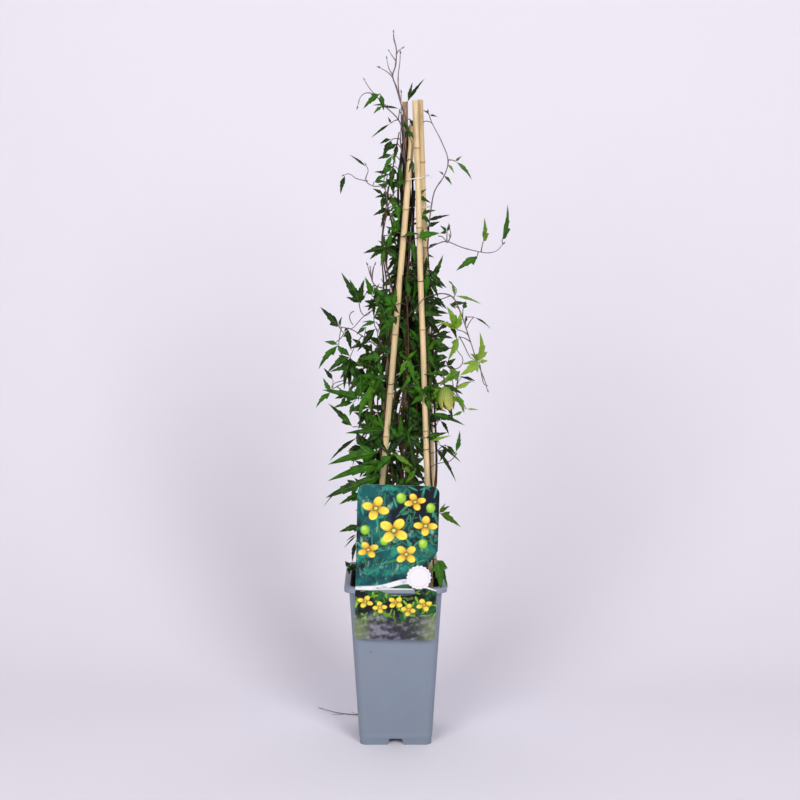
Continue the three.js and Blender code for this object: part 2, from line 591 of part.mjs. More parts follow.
function makeCard() {

	const { width, height, thickness, topCorner, footCorner, shoulder, seal, hip, slot, slotDrop } = card;
	const [ halfWide, halfHigh ] = [ width / 2, height / 2 ];
	const face = new THREE.Shape();
	face.moveTo( - halfWide, - halfHigh + footCorner );
	face.absarc( - halfWide + footCorner, - halfHigh + footCorner, footCorner, Math.PI, 1.5 * Math.PI );
	face.absarc( halfWide - footCorner, - halfHigh + footCorner, footCorner, - Math.PI / 2, 0 );
	face.lineTo( halfWide, hip );
	face.absarc( seal[ 0 ], seal[ 1 ], seal[ 2 ], radians( - 48 ), radians( 48 ) );
	face.lineTo( ...shoulder[ 1 ] );
	face.lineTo( ...shoulder[ 0 ] );
	face.absarc( halfWide - topCorner, halfHigh - topCorner, topCorner, 0, Math.PI / 2 );
	face.absarc( - halfWide + topCorner, halfHigh - topCorner, topCorner, Math.PI / 2, Math.PI );

	const rimTop = pot.height + gap;
	const slotTop = rimTop + 0.4 - card.centre[ 1 ];
	const hole = new THREE.Path();
	hole.moveTo( slot[ 0 ], slotTop );
	hole.quadraticCurveTo( slot[ 0 ] + 14, slotTop - slotDrop - 3, slot[ 1 ], slotTop - slotDrop + 3 );
	hole.lineTo( slot[ 1 ], slotTop );
	face.holes.push( hole );

	const front = - pot.rimHalf - gap;
	const cutting = { depth: thickness, bevelEnabled: false, curveSegments: 3 };
	const sheet = new THREE.ExtrudeGeometry( face, cutting );
	sheet.rotateX( Math.PI / 2 ).rotateY( radians( card.lean ) );
	sheet.translate( card.centre[ 0 ], front, card.centre[ 1 ] );

	const inside = - innerHalf( pot.height - card.tongueDrop ) + gap;
	const start = front - thickness / 2;
	const end = inside + thickness;
	const over = new THREE.BoxGeometry( 2 * card.tongueHalf, end - start, thickness );
	over.translate( 0, ( start + end ) / 2, rimTop + thickness / 2 );
	const down = new THREE.BoxGeometry( 2 * card.tongueHalf, thickness, card.tongueDrop );
	down.translate( 0, inside + thickness / 2, rimTop + thickness - card.tongueDrop / 2 );
	const fold = new THREE.BoxGeometry( 2 * card.tongueHalf, thickness * 0.8, card.fold );
	fold.translate( 0, start, rimTop + card.fold * 0.6 );
	return toSolid( sheet ).add( toSolid( over ) ).add( toSolid( down ) ).add( toSolid( fold ) );

}

// Bud: four sepals, closed into a hanging bell with a shallow mouth

function makeBud() {

	const { length, radius } = bud;
	const profile = [
		[ 0, 0 ], [ 0.4, 0.03 ], [ 0.8, 0.22 ], [ 1, 0.52 ], [ 0.86, 0.82 ], [ 0.5, 1 ], [ 0.4, 0.9 ], [ 0, 0.8 ]
	];
	const points = profile.map( ( [ r, z ] ) => new THREE.Vector2( r * radius, - z * length ) ).reverse();
	const bell = new THREE.LatheGeometry( points, 12 ).rotateX( Math.PI / 2 );
	moveVertices( bell, ( point ) => {

		const sepal = 1 + 0.09 * Math.cos( 4 * Math.atan2( point.y, point.x ) );
		point.x *= sepal;
		point.y *= sepal;

	} );
	bell.rotateY( radians( - bud.lean ) ).translate( ...bud.top );
	return toSolid( bell ).add( toSolid( rod( curveOf( bud.stalk ), bud.stalkRadius, 4, 6 ) ) );

}

// Root strand, out of a drain hole and along the surface behind the pot

function makeRootStrand() {

	const curve = curveOf( rootStrand.points );
	return toSolid( rod( curve, rootStrand.radius, rootStrand.sides, stepsOf( curve, rootStrand.step ) ) );

}

// Clematis leaves

const fullTurn = ( angle ) => THREE.MathUtils.euclideanModulo( angle, 2 * Math.PI );

const turnBetween = ( a, b ) => Math.abs( fullTurn( a - b + Math.PI ) - Math.PI );

// The edge of one arm of a leaf, in the plane of the leaf. An arm is the stalk, which is a plain strip,
// or a leaflet: a lance, with a lobe near its base on each side that has room for one.
function armEdge( { angle, length, wide, isStalk, lobes } ) {

	const half = Math.min( wide / 2, blade.stoutest * length );
	let edge = [ [ 1, - blade.stalkHalf ], [ 1, blade.stalkHalf ] ];
	if ( ! isStalk ) {

		const right = lobes[ 0 ] ? [ [ 0.26, - 1.5 * half ], [ 0.42, - 0.85 * half ] ] : [ [ 0.38, - half ] ];
		const left = lobes[ 1 ] ? [ [ 0.42, 0.85 * half ], [ 0.26, 1.5 * half ] ] : [ [ 0.38, half ] ];
		edge = [ ...right, [ 1, 0 ], ...left ];

	}

	return edge.map( ( [ t, aside ] ) =>
		new THREE.Vector2( t * length, aside ).rotateAround( new THREE.Vector2(), angle ) );

}

// A leaf's arms, laid out round its joint in the plane that its face looks out of.
function layOut( { root, joint, tips, wide, face } ) {

	const along = new THREE.Vector3();
	for ( const tip of tips ) along.add( tip ).sub( joint );
	along.normalize();
	const across = new THREE.Vector3().crossVectors( face, along ).normalize();
	const normal = new THREE.Vector3().crossVectors( along, across );
	const armTo = ( place ) => {

		const arm = place.clone().sub( joint );
		const [ ahead, aside, height ] = [ arm.dot( along ), arm.dot( across ), arm.dot( normal ) ];
		return { angle: Math.atan2( aside, ahead ), length: Math.hypot( ahead, aside ), height, wide };

	};

	const stalk = { ...armTo( root ), isStalk: true };
	if ( stalk.length < 1e-6 ) stalk.angle = Math.PI;
	const leaflets = spreadOut( tips.map( armTo ), stalk );
	const basis = new THREE.Matrix4().makeBasis( along, across, normal ).setPosition( joint );
	return { leaflets, stalk, basis };

}

// Leaflets in order round the joint from the stalk on, turned apart until each has its room.
function spreadOut( leaflets, stalk ) {

	const fromStalk = ( leaflet ) => ( { ...leaflet, turn: fullTurn( leaflet.angle - stalk.angle ) } );
	const turned = leaflets.map( fromStalk );
	turned.sort( ( a, b ) => a.turn - b.turn );
	let limit = 2 * Math.PI;
	for ( const leaflet of turned.toReversed() ) {

		leaflet.turn = Math.min( leaflet.turn, limit - blade.leafletRoom );
		limit = leaflet.turn;

	}

	limit = 0;
	for ( const leaflet of turned ) {

		leaflet.turn = Math.max( leaflet.turn, limit + blade.leafletRoom );
		limit = leaflet.turn;

	}

	return turned.map( ( { turn, ...leaflet } ) => ( { ...leaflet, angle: stalk.angle + turn } ) );

}

// A leaflet's side with room enough beside it gets a lobe, and the edge has a valley after each arm.
function withLobes( arms ) {

	const count = arms.length;
	const roomAfter = arms.map( ( arm, i ) =>
		fullTurn( arms[ ( i + 1 ) % count ].angle - arm.angle ) || 2 * Math.PI );
	return arms.map( ( arm, i ) => {

		const before = ( i + count - 1 ) % count;
		const hasRoom = ( room, neighbour ) => arm.wide > blade.plainWidth
			&& room > ( neighbour.isStalk ? blade.stalkRoom : blade.lobeRoom );
		const lobes = [
			hasRoom( roomAfter[ before ], arms[ before ] ),
			hasRoom( roomAfter[ i ], arms[ ( i + 1 ) % count ] )
		];
		return { ...arm, lobes, valley: arm.angle + roomAfter[ i ] / 2 };

	} );

}

// A leaf's blade: one thin arched sheet, with its arms cut to the joint.
function makeBlade( arms, basis ) {

	const ordered = withLobes( arms );
	const points = ordered.flatMap( ( arm ) => {

		const valley = new THREE.Vector2( Math.cos( arm.valley ), Math.sin( arm.valley ) );
		return [ ...armEdge( arm ), valley.multiplyScalar( blade.valley ) ];

	} );
	const outline = new THREE.Shape( points );
	const sheet = new THREE.ExtrudeGeometry( outline, { depth: blade.thickness, bevelEnabled: false } );
	moveVertices( sheet, ( point ) => {

		const angle = Math.atan2( point.y, point.x );
		const nearer = ( best, next ) =>
			turnBetween( next.angle, angle ) < turnBetween( best.angle, angle ) ? next : best;
		const { length, height } = ordered.reduce( nearer );
		const t = Math.min( 1, Math.hypot( point.x, point.y ) / length );
		point.z += - blade.thickness / 2 + t * height + blade.arch * length * 4 * t * ( 1 - t );

	} );
	return toSolid( sheet.applyMatrix4( basis ) );

}

// A leaf: its blade, and a stalk to the joint unless that sits on the stem itself. The stalk is cut
// from the same sheet where it lies near enough to the plane of the leaf.
function makeLeaf( leaf ) {

	const { root, joint } = leaf;
	const { leaflets, stalk, basis } = layOut( leaf );
	const sheet = makeBlade( leaflets, basis );
	if ( root.distanceTo( joint ) < blade.seated ) return { sheet, whole: sheet, seated: true };
	if ( Math.abs( stalk.height ) < stalk.length ) {

		return { sheet, whole: makeBlade( [ stalk, ...leaflets ], basis ), seated: false };

	}

	const bow = root.clone().lerp( joint, 0.5 );
	bow.z += 2 * blade.stalkBow * root.distanceTo( joint );
	const past = joint.clone().sub( root ).setLength( blade.past ).add( joint );
	const curve = new THREE.QuadraticBezierCurve3( root, bow, past );
	const stalkRod = toSolid( rod( curve, blade.stalkHalf, blade.stalkSides, blade.stalkSteps ) );
	return { sheet, whole: stalkRod.add( sheet ), seated: false };

}

// The nearest point to a place on some lines of points.
function nearestOn( lines, place ) {

	let best = null;
	for ( const line of lines ) {

		for ( let i = 1; i < line.length; i ++ ) {

			const stretch = new THREE.Line3( line[ i - 1 ], line[ i ] );
			const point = stretch.closestPointToPoint( place, true, new THREE.Vector3() );
			if ( best === null || point.distanceTo( place ) < best.distanceTo( place ) ) best = point;

		}

	}

	return best;

}

// The leaves that are seen at the plant's edge. They face the front and a little up.
function seenLeaves( stem, lines ) {

	return stem.leaves.map( ( { at, tips, wide } ) => {

		const place = vector( at );
		const root = nearestOn( lines, place );
		const joint = root.distanceTo( place ) < blade.seated ? root : place;
		const face = new THREE.Vector3( joint.x / 150, - 0.8, 0.5 );
		return { root, joint, tips: tips.map( vector ), wide, face };

	} );

}

// A leaf by rule, reaching out from its root. It faces outwards, and more to the front or the back than
// to a side, and its three to five leaflets fan out and hang.
function ruledLeaf( root, heading, { reach, rise, long }, random ) {

	const [ far, climb, number, size, lift, hang ] = Array.from( { length: 6 }, random );
	const out = new THREE.Vector3( Math.cos( heading ), Math.sin( heading ), rise + 0.7 * ( climb - 0.45 ) );
	out.normalize();
	const joint = root.clone().addScaledVector( out, reach * ( 0.45 + 0.75 * far ) );
	const face = new THREE.Vector3( out.x, out.y + 0.8 * Math.sign( out.y ), 0.25 + 0.5 * lift ).normalize();
	const level = new THREE.Vector3( - face.y, face.x, 0 ).normalize();
	if ( level.dot( out ) < 0 ) level.negate();
	const steep = radians( 25 - 105 * hang );
	const way = new THREE.Vector3().crossVectors( face, level );
	if ( way.z < 0 ) way.negate();
	way.multiplyScalar( Math.sin( steep ) ).addScaledVector( level, Math.cos( steep ) );
	const across = new THREE.Vector3().crossVectors( face, way );
	const longest = long[ 0 ] + ( long[ 1 ] - long[ 0 ] ) * size;
	const fans = [ 0, 62, - 62, 120, - 120 ].slice( 0, 3 + Math.floor( 1.8 * number ) );
	const tips = fans.map( ( fan ) => {

		const turn = radians( fan + 14 * ( random() - 0.5 ) );
		const length = longest * ( fan === 0 ? 1 : 0.78 );
		const tip = joint.clone();
		tip.addScaledVector( way, length * Math.cos( turn ) );
		tip.addScaledVector( across, length * Math.sin( turn ) );
		tip.z -= length * ( 0.05 + 0.25 * random() );
		return tip;

	} );
	return { root, joint, tips, wide: 0.25 * longest, face };

}

// Whether a leaf would hang in front of one of the front canes, which stay in sight.
function hidesCane( { joint, tips } ) {

	const isOver = ( place, line ) => {

		const [ x, y ] = lineAt( line, place.z );
		return place.y < y && Math.abs( place.x - x ) < blade.offCane;

	};

	const shares = [ 0, 0.25, 0.5, 0.75, 1 ];
	const places = tips.flatMap( ( tip ) => shares.map( ( t ) => joint.clone().lerp( tip, t ) ) );
	const fronts = [ caneLines.cane_front_left, caneLines.cane_front_right ];
	return fronts.some( ( line ) => places.some( ( place ) => isOver( place, line ) ) );

}

// Leaves by rule, evenly along the stem and round its side, each with a random draw of its own.
function ruledLeaves( { run, rule }, line ) {

	const curve = curveOf( run );
	const random = randomFrom( rule.seed );
	const leaves = [];
	for ( let i = 0; i < rule.tries; i ++ ) {

		const along = ( evenly.along * i + 0.1 * random() ) % 1;
		const around = ( evenly.around * i + 0.1 * random() ) % 1;
		const place = curve.getPoint( rule.low + ( rule.high - rule.low ) * along );
		const heading = radians( rule.side + rule.spread * ( around - 0.5 ) );
		leaves.push( ruledLeaf( nearestOn( [ line ], place ), heading, rule, random ) );

	}

	return leaves;

}

const boxOf = ( solid ) => {

	const { min, max } = solid.boundingBox();
	return new THREE.Box3( vector( min ), vector( max ) );

};

const boxed = ( solid ) => ( { solid, box: boxOf( solid ) } );

const crosses = ( piece, others ) => others.some( ( other ) =>
	other.box.intersectsBox( piece.box ) && ! other.solid.intersect( piece.solid ).isEmpty() );

// A stem's woody run and shoots. Each shoot starts on what is there before it.
function makeWood( { radius, run, shoots } ) {

	const lines = [];
	let solid = null;
	const addRod = ( curve, rodRadius, sides, steps ) => {

		lines.push( curve.getSpacedPoints( steps ) );
		const next = toSolid( rod( curve, rodRadius, sides, steps ) );
		solid = solid === null ? next : solid.add( next );

	};

	const runCurve = curveOf( run );
	addRod( runCurve, radius, wood.runSides, stepsOf( runCurve, wood.runStep ) );
	for ( const [ shootRadius, start, ...rest ] of shoots ) {

		const curve = curveOf( [ nearestOn( lines, vector( start ) ).toArray(), ...rest ] );
		addRod( curve, shootRadius, wood.shootSides, stepsOf( curve, wood.shootStep ) );

	}

	return { lines, solid };

}

// A stem with each of its leaves that crosses nothing but the wood it grows from.
function makeStem( name, obstacles ) {

	const { lines, solid } = woods[ name ];
	const own = [ boxed( solid ) ];
	const grown = [];
	const grow = ( leaf ) => {

		const { sheet, whole, seated } = makeLeaf( leaf );
		const piece = boxed( whole );
		if ( crosses( piece, obstacles ) || crosses( piece, grown ) ) return;
		if ( crosses( boxed( sheet ), own ) === seated ) grown.push( piece );

	};

	seenLeaves( stems[ name ], lines ).forEach( grow );
	const most = grown.length + stems[ name ].rule.most;
	for ( const leaf of ruledLeaves( stems[ name ], lines[ 0 ] ) ) {

		if ( grown.length < most && ! hidesCane( leaf ) ) grow( leaf );

	}

	return grown.reduce( ( sum, piece ) => sum.add( piece.solid ), solid );

}

// The whole plant in its pot

const finishes = {
	plastic: { color: 0x8794a6, roughness: 0.5, metalness: 0 },
	soil: { color: 0x35271c, roughness: 1, metalness: 0 },
	bamboo: { color: 0xe0c892, roughness: 0.55, metalness: 0 },
	shadedBamboo: { color: 0x9a6f45, roughness: 0.6, metalness: 0 },
	wire: { color: 0xefe9e4, roughness: 0.4, metalness: 0 },
	card: { color: 0x1f6b5c, roughness: 0.35, metalness: 0 },
	leaf: { color: 0x2f6a24, roughness: 0.5, metalness: 0 },
	bud: { color: 0xb9c46a, roughness: 0.5, metalness: 0 },
	root: { color: 0x4c3b2e, roughness: 0.8, metalness: 0 }
};

const group = new THREE.Group();
const obstacles = [];

function addPiece( name, solid, finish ) {

	const mesh = new THREE.Mesh( toGeometry( solid ), new THREE.MeshStandardMaterial( finishes[ finish ] ) );
	mesh.name = name;
	group.add( mesh );

}

function addHolder( name, solid, finish ) {

	addPiece( name, solid, finish );
	obstacles.push( boxed( solid ) );

}

addHolder( 'pot', makePot(), 'plastic' );
addHolder( 'soil', makeSoil(), 'soil' );
for ( const name of Object.keys( caneLines ) ) {

	addHolder( name, makeCane( name ), name === 'stake_middle' ? 'shadedBamboo' : 'bamboo' );

}

for ( const [ name, tie ] of Object.entries( ties ) ) addHolder( name, makeTie( tie ), 'wire' );
addHolder( 'card', makeCard(), 'card' );
addHolder( 'bud', makeBud(), 'bud' );
addHolder( 'root_strand', makeRootStrand(), 'root' );

const woods = {};
for ( const [ name, stem ] of Object.entries( stems ) ) woods[ name ] = makeWood( stem );

const finished = [];
for ( const name of Object.keys( stems ) ) {

	const others = Object.keys( stems ).filter( ( other ) => other !== name );
	const otherWoods = others.map( ( other ) => boxed( woods[ other ].solid ) );
	const solid = makeStem( name, [ ...obstacles, ...otherWoods, ...finished ] );
	finished.push( boxed( solid ) );
	addPiece( name, solid, 'leaf' );

}

export default group;
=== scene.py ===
import json
import math

import bpy
import numpy as np
from mathutils import Matrix, Vector, noise
from mathutils.bvhtree import BVHTree

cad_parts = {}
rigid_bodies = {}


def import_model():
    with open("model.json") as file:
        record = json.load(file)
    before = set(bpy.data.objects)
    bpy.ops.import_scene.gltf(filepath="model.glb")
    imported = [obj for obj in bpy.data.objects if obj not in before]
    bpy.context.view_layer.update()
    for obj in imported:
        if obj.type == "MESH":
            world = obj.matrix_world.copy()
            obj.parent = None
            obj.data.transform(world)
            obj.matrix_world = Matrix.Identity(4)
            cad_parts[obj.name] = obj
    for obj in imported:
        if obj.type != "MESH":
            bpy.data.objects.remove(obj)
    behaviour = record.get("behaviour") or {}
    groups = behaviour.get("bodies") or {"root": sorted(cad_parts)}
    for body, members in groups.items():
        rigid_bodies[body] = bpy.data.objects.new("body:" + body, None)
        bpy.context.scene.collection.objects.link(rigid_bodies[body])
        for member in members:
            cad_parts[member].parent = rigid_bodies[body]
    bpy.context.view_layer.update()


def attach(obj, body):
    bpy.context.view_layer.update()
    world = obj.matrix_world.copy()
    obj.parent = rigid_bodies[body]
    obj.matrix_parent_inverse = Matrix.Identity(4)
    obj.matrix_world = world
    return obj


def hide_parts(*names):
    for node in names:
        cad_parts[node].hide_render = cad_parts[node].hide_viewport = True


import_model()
mm = 0.001
noise.seed_set(4)  # else the vector noise starts from the clock


# small helpers, used by every piece

def selectOnly(*pieces):
    bpy.ops.object.select_all(action="DESELECT")
    for piece in pieces:
        piece.select_set(True)
    bpy.context.view_layer.objects.active = pieces[0]


def selectAll():
    bpy.ops.mesh.select_all(action="SELECT")


def editing(piece):
    # into edit mode with everything selected
    selectOnly(piece)
    bpy.ops.object.mode_set(mode="EDIT")
    selectAll()


def editingWhere(piece, test):
    # into edit mode with only those vertices selected that pass the test, and the edges between them
    for vertex in piece.data.vertices:
        vertex.select = test(vertex.co)
    for edge in piece.data.edges:
        edge.select = all(piece.data.vertices[i].select for i in edge.vertices)
    for face in piece.data.polygons:
        face.select = False
    bpy.ops.object.mode_set(mode="EDIT")


def doneEditing():
    bpy.ops.object.mode_set(mode="OBJECT")


def doneOutwards():
    # out of edit mode, with every face pointing outwards
    selectAll()
    bpy.ops.mesh.normals_make_consistent(inside=False)
    doneEditing()


def namePiece(name):
    piece = bpy.context.object
    piece.name = name
    piece.data.name = name
    return piece


def addModifier(piece, kind, **settings):
    modifier = piece.modifiers.new(kind.lower(), kind)
    for name, value in settings.items():
        setattr(modifier, name, value)


def applyModifiers(piece):
    selectOnly(piece)
    for modifier in list(piece.modifiers):
        bpy.ops.object.modifier_apply(modifier=modifier.name)


def settle(piece, angle=40):
    # the piece's place goes into its mesh, and its soft edges are shaded smooth
    selectOnly(piece)
    bpy.ops.object.transform_apply(location=True, rotation=True, scale=True)
    bpy.ops.object.shade_smooth_by_angle(angle=math.radians(angle))
    return piece


def joined(pieces, name):
    selectOnly(*pieces)
    if len(pieces) > 1:
        bpy.ops.object.join()
    return namePiece(name)


def wear(piece, *shaders):
    piece.data.materials.clear()
    for shader in shaders:
        piece.data.materials.append(shader.material)


def fit(piece, node):
    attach(piece, "root")
    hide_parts(node)


def pointsOf(piece):
    flat = np.empty(len(piece.data.vertices) * 3, np.float32)
    piece.data.vertices.foreach_get("co", flat)
    return flat.reshape(-1, 3).astype(float)


def setPoints(piece, points):
    piece.data.vertices.foreach_set("co", np.asarray(points, np.float32).ravel())
    piece.data.update()


def setTone(piece, name, value):
    count = len(piece.data.vertices)
    attribute = piece.data.attributes.get(name) or piece.data.attributes.new(name, "FLOAT", "POINT")
    attribute.data.foreach_set("value", np.broadcast_to(np.asarray(value, np.float32), count).copy())


def extrudeRing(up, grow, centre=0):
    # one more ring above the last, wider by a factor about a height of its own
    bpy.ops.mesh.extrude_region_move(TRANSFORM_OT_translate={"value": (0, 0, up * mm)})
    bpy.ops.transform.resize(value=(grow, grow, 1), center_override=(0, 0, centre * mm))


# shader helpers

class Shader:

    def __init__(self, tree):
        self.tree = tree

    def add(self, kind, **settings):
        node = self.tree.nodes.new(kind)
        for name, value in settings.items():
            setattr(node, name, value)
        return node

    def put(self, value, socket):
        if isinstance(value, bpy.types.NodeSocket):
            self.tree.links.new(value, socket)
        else:
            socket.default_value = value

    def fill(self, node, **values):
        for name, value in values.items():
            self.put(value, node.inputs[name.replace("_", " ")])
        return node

    def math(self, operation, a, b=0.0):
        node = self.add("ShaderNodeMath", operation=operation)
        self.put(a, node.inputs[0])
        self.put(b, node.inputs[1])
        return node.outputs[0]

    def plus(self, a, b):
        return self.math("ADD", a, b)

    def minus(self, a, b):
        return self.math("SUBTRACT", a, b)

    def times(self, a, b):
        return self.math("MULTIPLY", a, b)

    def size(self, a):
        return self.math("ABSOLUTE", a)

    def mix(self, amount, a, b, blend="MIX"):
        node = self.add("ShaderNodeMix", data_type="RGBA", blend_type=blend)
        for place, value in ((0, amount), (6, a), (7, b)):
            self.put(value, node.inputs[place])
        return node.outputs[2]

    def span(self, value, low, high, outLow=0.0, outHigh=1.0):
        # a soft step as the value goes from low to high
        node = self.add("ShaderNodeMapRange", interpolation_type="SMOOTHSTEP")
        for socket, number in zip(node.inputs[:5], (value, low, high, outLow, outHigh)):
            self.put(number, socket)
        return node.outputs[0]

    def noise(self, where, scale, detail=3.0, roughness=0.55, warp=0.0):
        node = self.add("ShaderNodeTexNoise")
        self.fill(node, Vector=where, Scale=scale, Detail=detail, Roughness=roughness, Distortion=warp)
        return node.outputs[0]

    def cells(self, where, scale):
        return self.fill(self.add("ShaderNodeTexVoronoi"), Vector=where, Scale=scale).outputs["Distance"]

    def stretched(self, where, scale):
        return self.fill(self.add("ShaderNodeMapping"), Vector=where, Scale=scale).outputs[0]

    def place(self):
        return self.add("ShaderNodeTexCoord").outputs["Object"]

    def attribute(self, name, output="Fac"):
        return self.add("ShaderNodeAttribute", attribute_name=name).outputs[output]

    def height(self, where):
        node = self.add("ShaderNodeSeparateXYZ")
        self.put(where, node.inputs[0])
        return node.outputs["Z"]

    def base(self, colour):
        self.fill(self.principled, Base_Color=colour)

    def rough(self, value):
        self.fill(self.principled, Roughness=value)

    def bump(self, height, strength, distance):
        node = self.fill(self.add("ShaderNodeBump"), Strength=strength, Distance=distance, Height=height)
        self.fill(self.principled, Normal=node.outputs[0])

    def blend(self, amount, first, second):
        # the surface as a mix of two shaders instead of the one
        node = self.add("ShaderNodeMixShader")
        for place, value in enumerate((amount, first, second)):
            self.put(value, node.inputs[place])
        self.put(node.outputs[0], self.surface)


def newMaterial(name, **constants):
    # a Principled shader with its plain numbers on its own sockets
    material = bpy.data.materials.new(name)
    material.use_nodes = True
    material.node_tree.nodes.clear()
    shader = Shader(material.node_tree)
    shader.material = material
    shader.principled = shader.fill(shader.add("ShaderNodeBsdfPrincipled"), **constants)
    shader.surface = shader.add("ShaderNodeOutputMaterial").inputs[0]
    shader.put(shader.principled.outputs[0], shader.surface)
    return shader


def newGroup(name, inputs, outputs):
    group = bpy.data.node_groups.new(name, "ShaderNodeTree")
    for label, kind, value in inputs:
        socket = group.interface.new_socket(name=label, in_out="INPUT", socket_type=kind)
        if value is not None:
            socket.default_value = value
    for label, kind in outputs:
        group.interface.new_socket(name=label, in_out="OUTPUT", socket_type=kind)
    shader = Shader(group)
    return group, shader, shader.add("NodeGroupInput").outputs, shader.add("NodeGroupOutput").inputs


def useGroup(shader, group, **values):
    return shader.fill(shader.add("ShaderNodeGroup", node_tree=group), **values).outputs


colour, number, vector3 = "NodeSocketColor", "NodeSocketFloat", "NodeSocketVector"


def rgb(red, green, blue):
    # a colour given as it looks on a screen, 0 to 255
    def linear(value):
        value /= 255
        return value / 12.92 if value <= 0.04045 else ((value + 0.055) / 1.055) ** 2.4
    return (linear(red), linear(green), linear(blue), 1)


def makeGrimeGroup():
    # dust and handling marks that vary over a surface
    group, shader, given, out = newGroup(
        "grime",
        [("Place", vector3, None), ("Clean", colour, (0.5, 0.5, 0.5, 1)),
         ("Dust", colour, (0.4, 0.36, 0.3, 1)), ("Amount", number, 0.2), ("Roughness", number, 0.5)],
        [("Colour", colour), ("Roughness", number), ("Height", number)])
    broad = shader.noise(given["Place"], 22, 4, 0.6)
    fine = shader.noise(given["Place"], 420, 3, 0.7)
    marks = shader.span(shader.noise(given["Place"], 90, 5, 0.75, 1.2), 0.56, 0.72)
    dusty = shader.times(shader.span(broad, 0.42, 0.75), given["Amount"])
    dusty = shader.plus(dusty, shader.times(marks, shader.times(given["Amount"], 0.5)))
    tinted = shader.mix(dusty, given["Clean"], given["Dust"])
    worn = shader.mix(shader.span(broad, 0.3, 0.7, 0.0, 0.06), tinted, (0.02, 0.02, 0.03, 1))
    rough = shader.plus(given["Roughness"], shader.times(dusty, 0.5))
    rough = shader.plus(rough, shader.span(fine, 0.3, 0.7, -0.05, 0.05))
    height = shader.plus(shader.times(fine, 0.5), shader.times(marks, 0.4))
    for value, name in ((worn, "Colour"), (rough, "Roughness"), (height, "Height")):
        shader.put(value, out[name])
    return group


grime = makeGrimeGroup()


# the camera stands where the photographer stood, a little above the middle of the plant

view = {"place": (4.8, -1700, 656), "down": 9.16, "focal": 1568, "frame": 800, "sensor": 36}


def makeCamera():
    bpy.ops.object.camera_add(location=Vector(view["place"]) * mm,
                              rotation=(math.radians(90 - view["down"]), 0, 0))
    camera = bpy.context.object
    camera.name = "camera"
    camera.data.sensor_width = view["sensor"]
    camera.data.lens = view["sensor"] * view["focal"] / view["frame"]
    camera.data.clip_start = 0.05
    bpy.context.scene.camera = camera
    bpy.context.scene.view_settings.view_transform = "Standard"


makeCamera()
print("camera placed")


# studio: a pale sweep close behind the plant, soft lights from the front, the right a little stronger

studio = {
    "half": 3.2, "front": -3.0, "foldAt": 0.62, "height": 3.4, "sweep": 0.5, "sweepSteps": 24,
    "under": 0.002,
    "paper": rgb(234, 230, 239), "sky": (0.95, 0.93, 0.98, 1), "skyStrength": 0.14,
    "lights": {
        "keyLight": {"place": (1.0, -2.1, 1.4), "aim": (0.1, 0, 0.4), "size": 1.1, "power": 37},
        "fillLight": {"place": (-1.05, -2.0, 1.25), "aim": (-0.15, 0, 0.4), "size": 1.3, "power": 29},
        "topLight": {"place": (0, -0.3, 2.6), "aim": (0, 0.1, 0.2), "size": 2.0, "power": 6},
    },
}


def makeStudio():
    back, front = studio["foldAt"], studio["front"]
    bpy.ops.mesh.primitive_plane_add(size=2, location=(0, 0, 0))
    floor = namePiece("studioSweep")
    editing(floor)
    bpy.ops.transform.resize(value=(studio["half"], (back - front) / 2, 1))
    bpy.ops.transform.translate(value=(0, (back + front) / 2, 0))
    doneEditing()
    editingWhere(floor, lambda place: place.y > 0)
    bpy.ops.mesh.extrude_region_move(TRANSFORM_OT_translate={"value": (0, 0, studio["height"])})
    doneEditing()
    editingWhere(floor, lambda place: place.y > 0 and place.z < studio["height"] / 2)
    bpy.ops.mesh.bevel(offset=studio["sweep"], segments=studio["sweepSteps"], affect="EDGES")
    doneEditing()
    settle(floor, 60)
    shader = newMaterial("paperSweep", Roughness=0.95)
    darker = tuple(value * 0.97 for value in studio["paper"][:3]) + (1,)
    shader.base(shader.mix(shader.noise(shader.place(), 1.5, 2), studio["paper"], darker))
    # the sweep shows only from its front, so that the plant can be looked at from behind too
    clear = shader.add("ShaderNodeBsdfTransparent")
    facing = shader.add("ShaderNodeNewGeometry").outputs["Backfacing"]
    shader.blend(facing, shader.principled.outputs[0], clear.outputs[0])
    # and a wider floor just under it carries on behind the sweep
    bpy.ops.mesh.primitive_plane_add(size=2 * studio["half"], location=(0, 0, -studio["under"]))
    under = settle(namePiece("studioFloor"))
    for sheet in (floor, under):
        wear(sheet, shader)


def makeLights():
    world = bpy.data.worlds.new("studioAir")
    world.use_nodes = True
    background = world.node_tree.nodes["Background"]
    background.inputs["Color"].default_value = studio["sky"]
    background.inputs["Strength"].default_value = studio["skyStrength"]
    bpy.context.scene.world = world
    for name, light in studio["lights"].items():
        aim = Vector(light["aim"]) - Vector(light["place"])
        bpy.ops.object.light_add(type="AREA", location=light["place"],
                                 rotation=aim.to_track_quat("-Z", "Y").to_euler())
        lamp = bpy.context.object
        lamp.name = name
        lamp.data.shape = "DISK"
        lamp.data.size = light["size"]
        lamp.data.energy = light["power"]


makeStudio()
makeLights()
print("studio made")


# pot: one rounded-square ring drawn up the outside, over the rim and down the inside

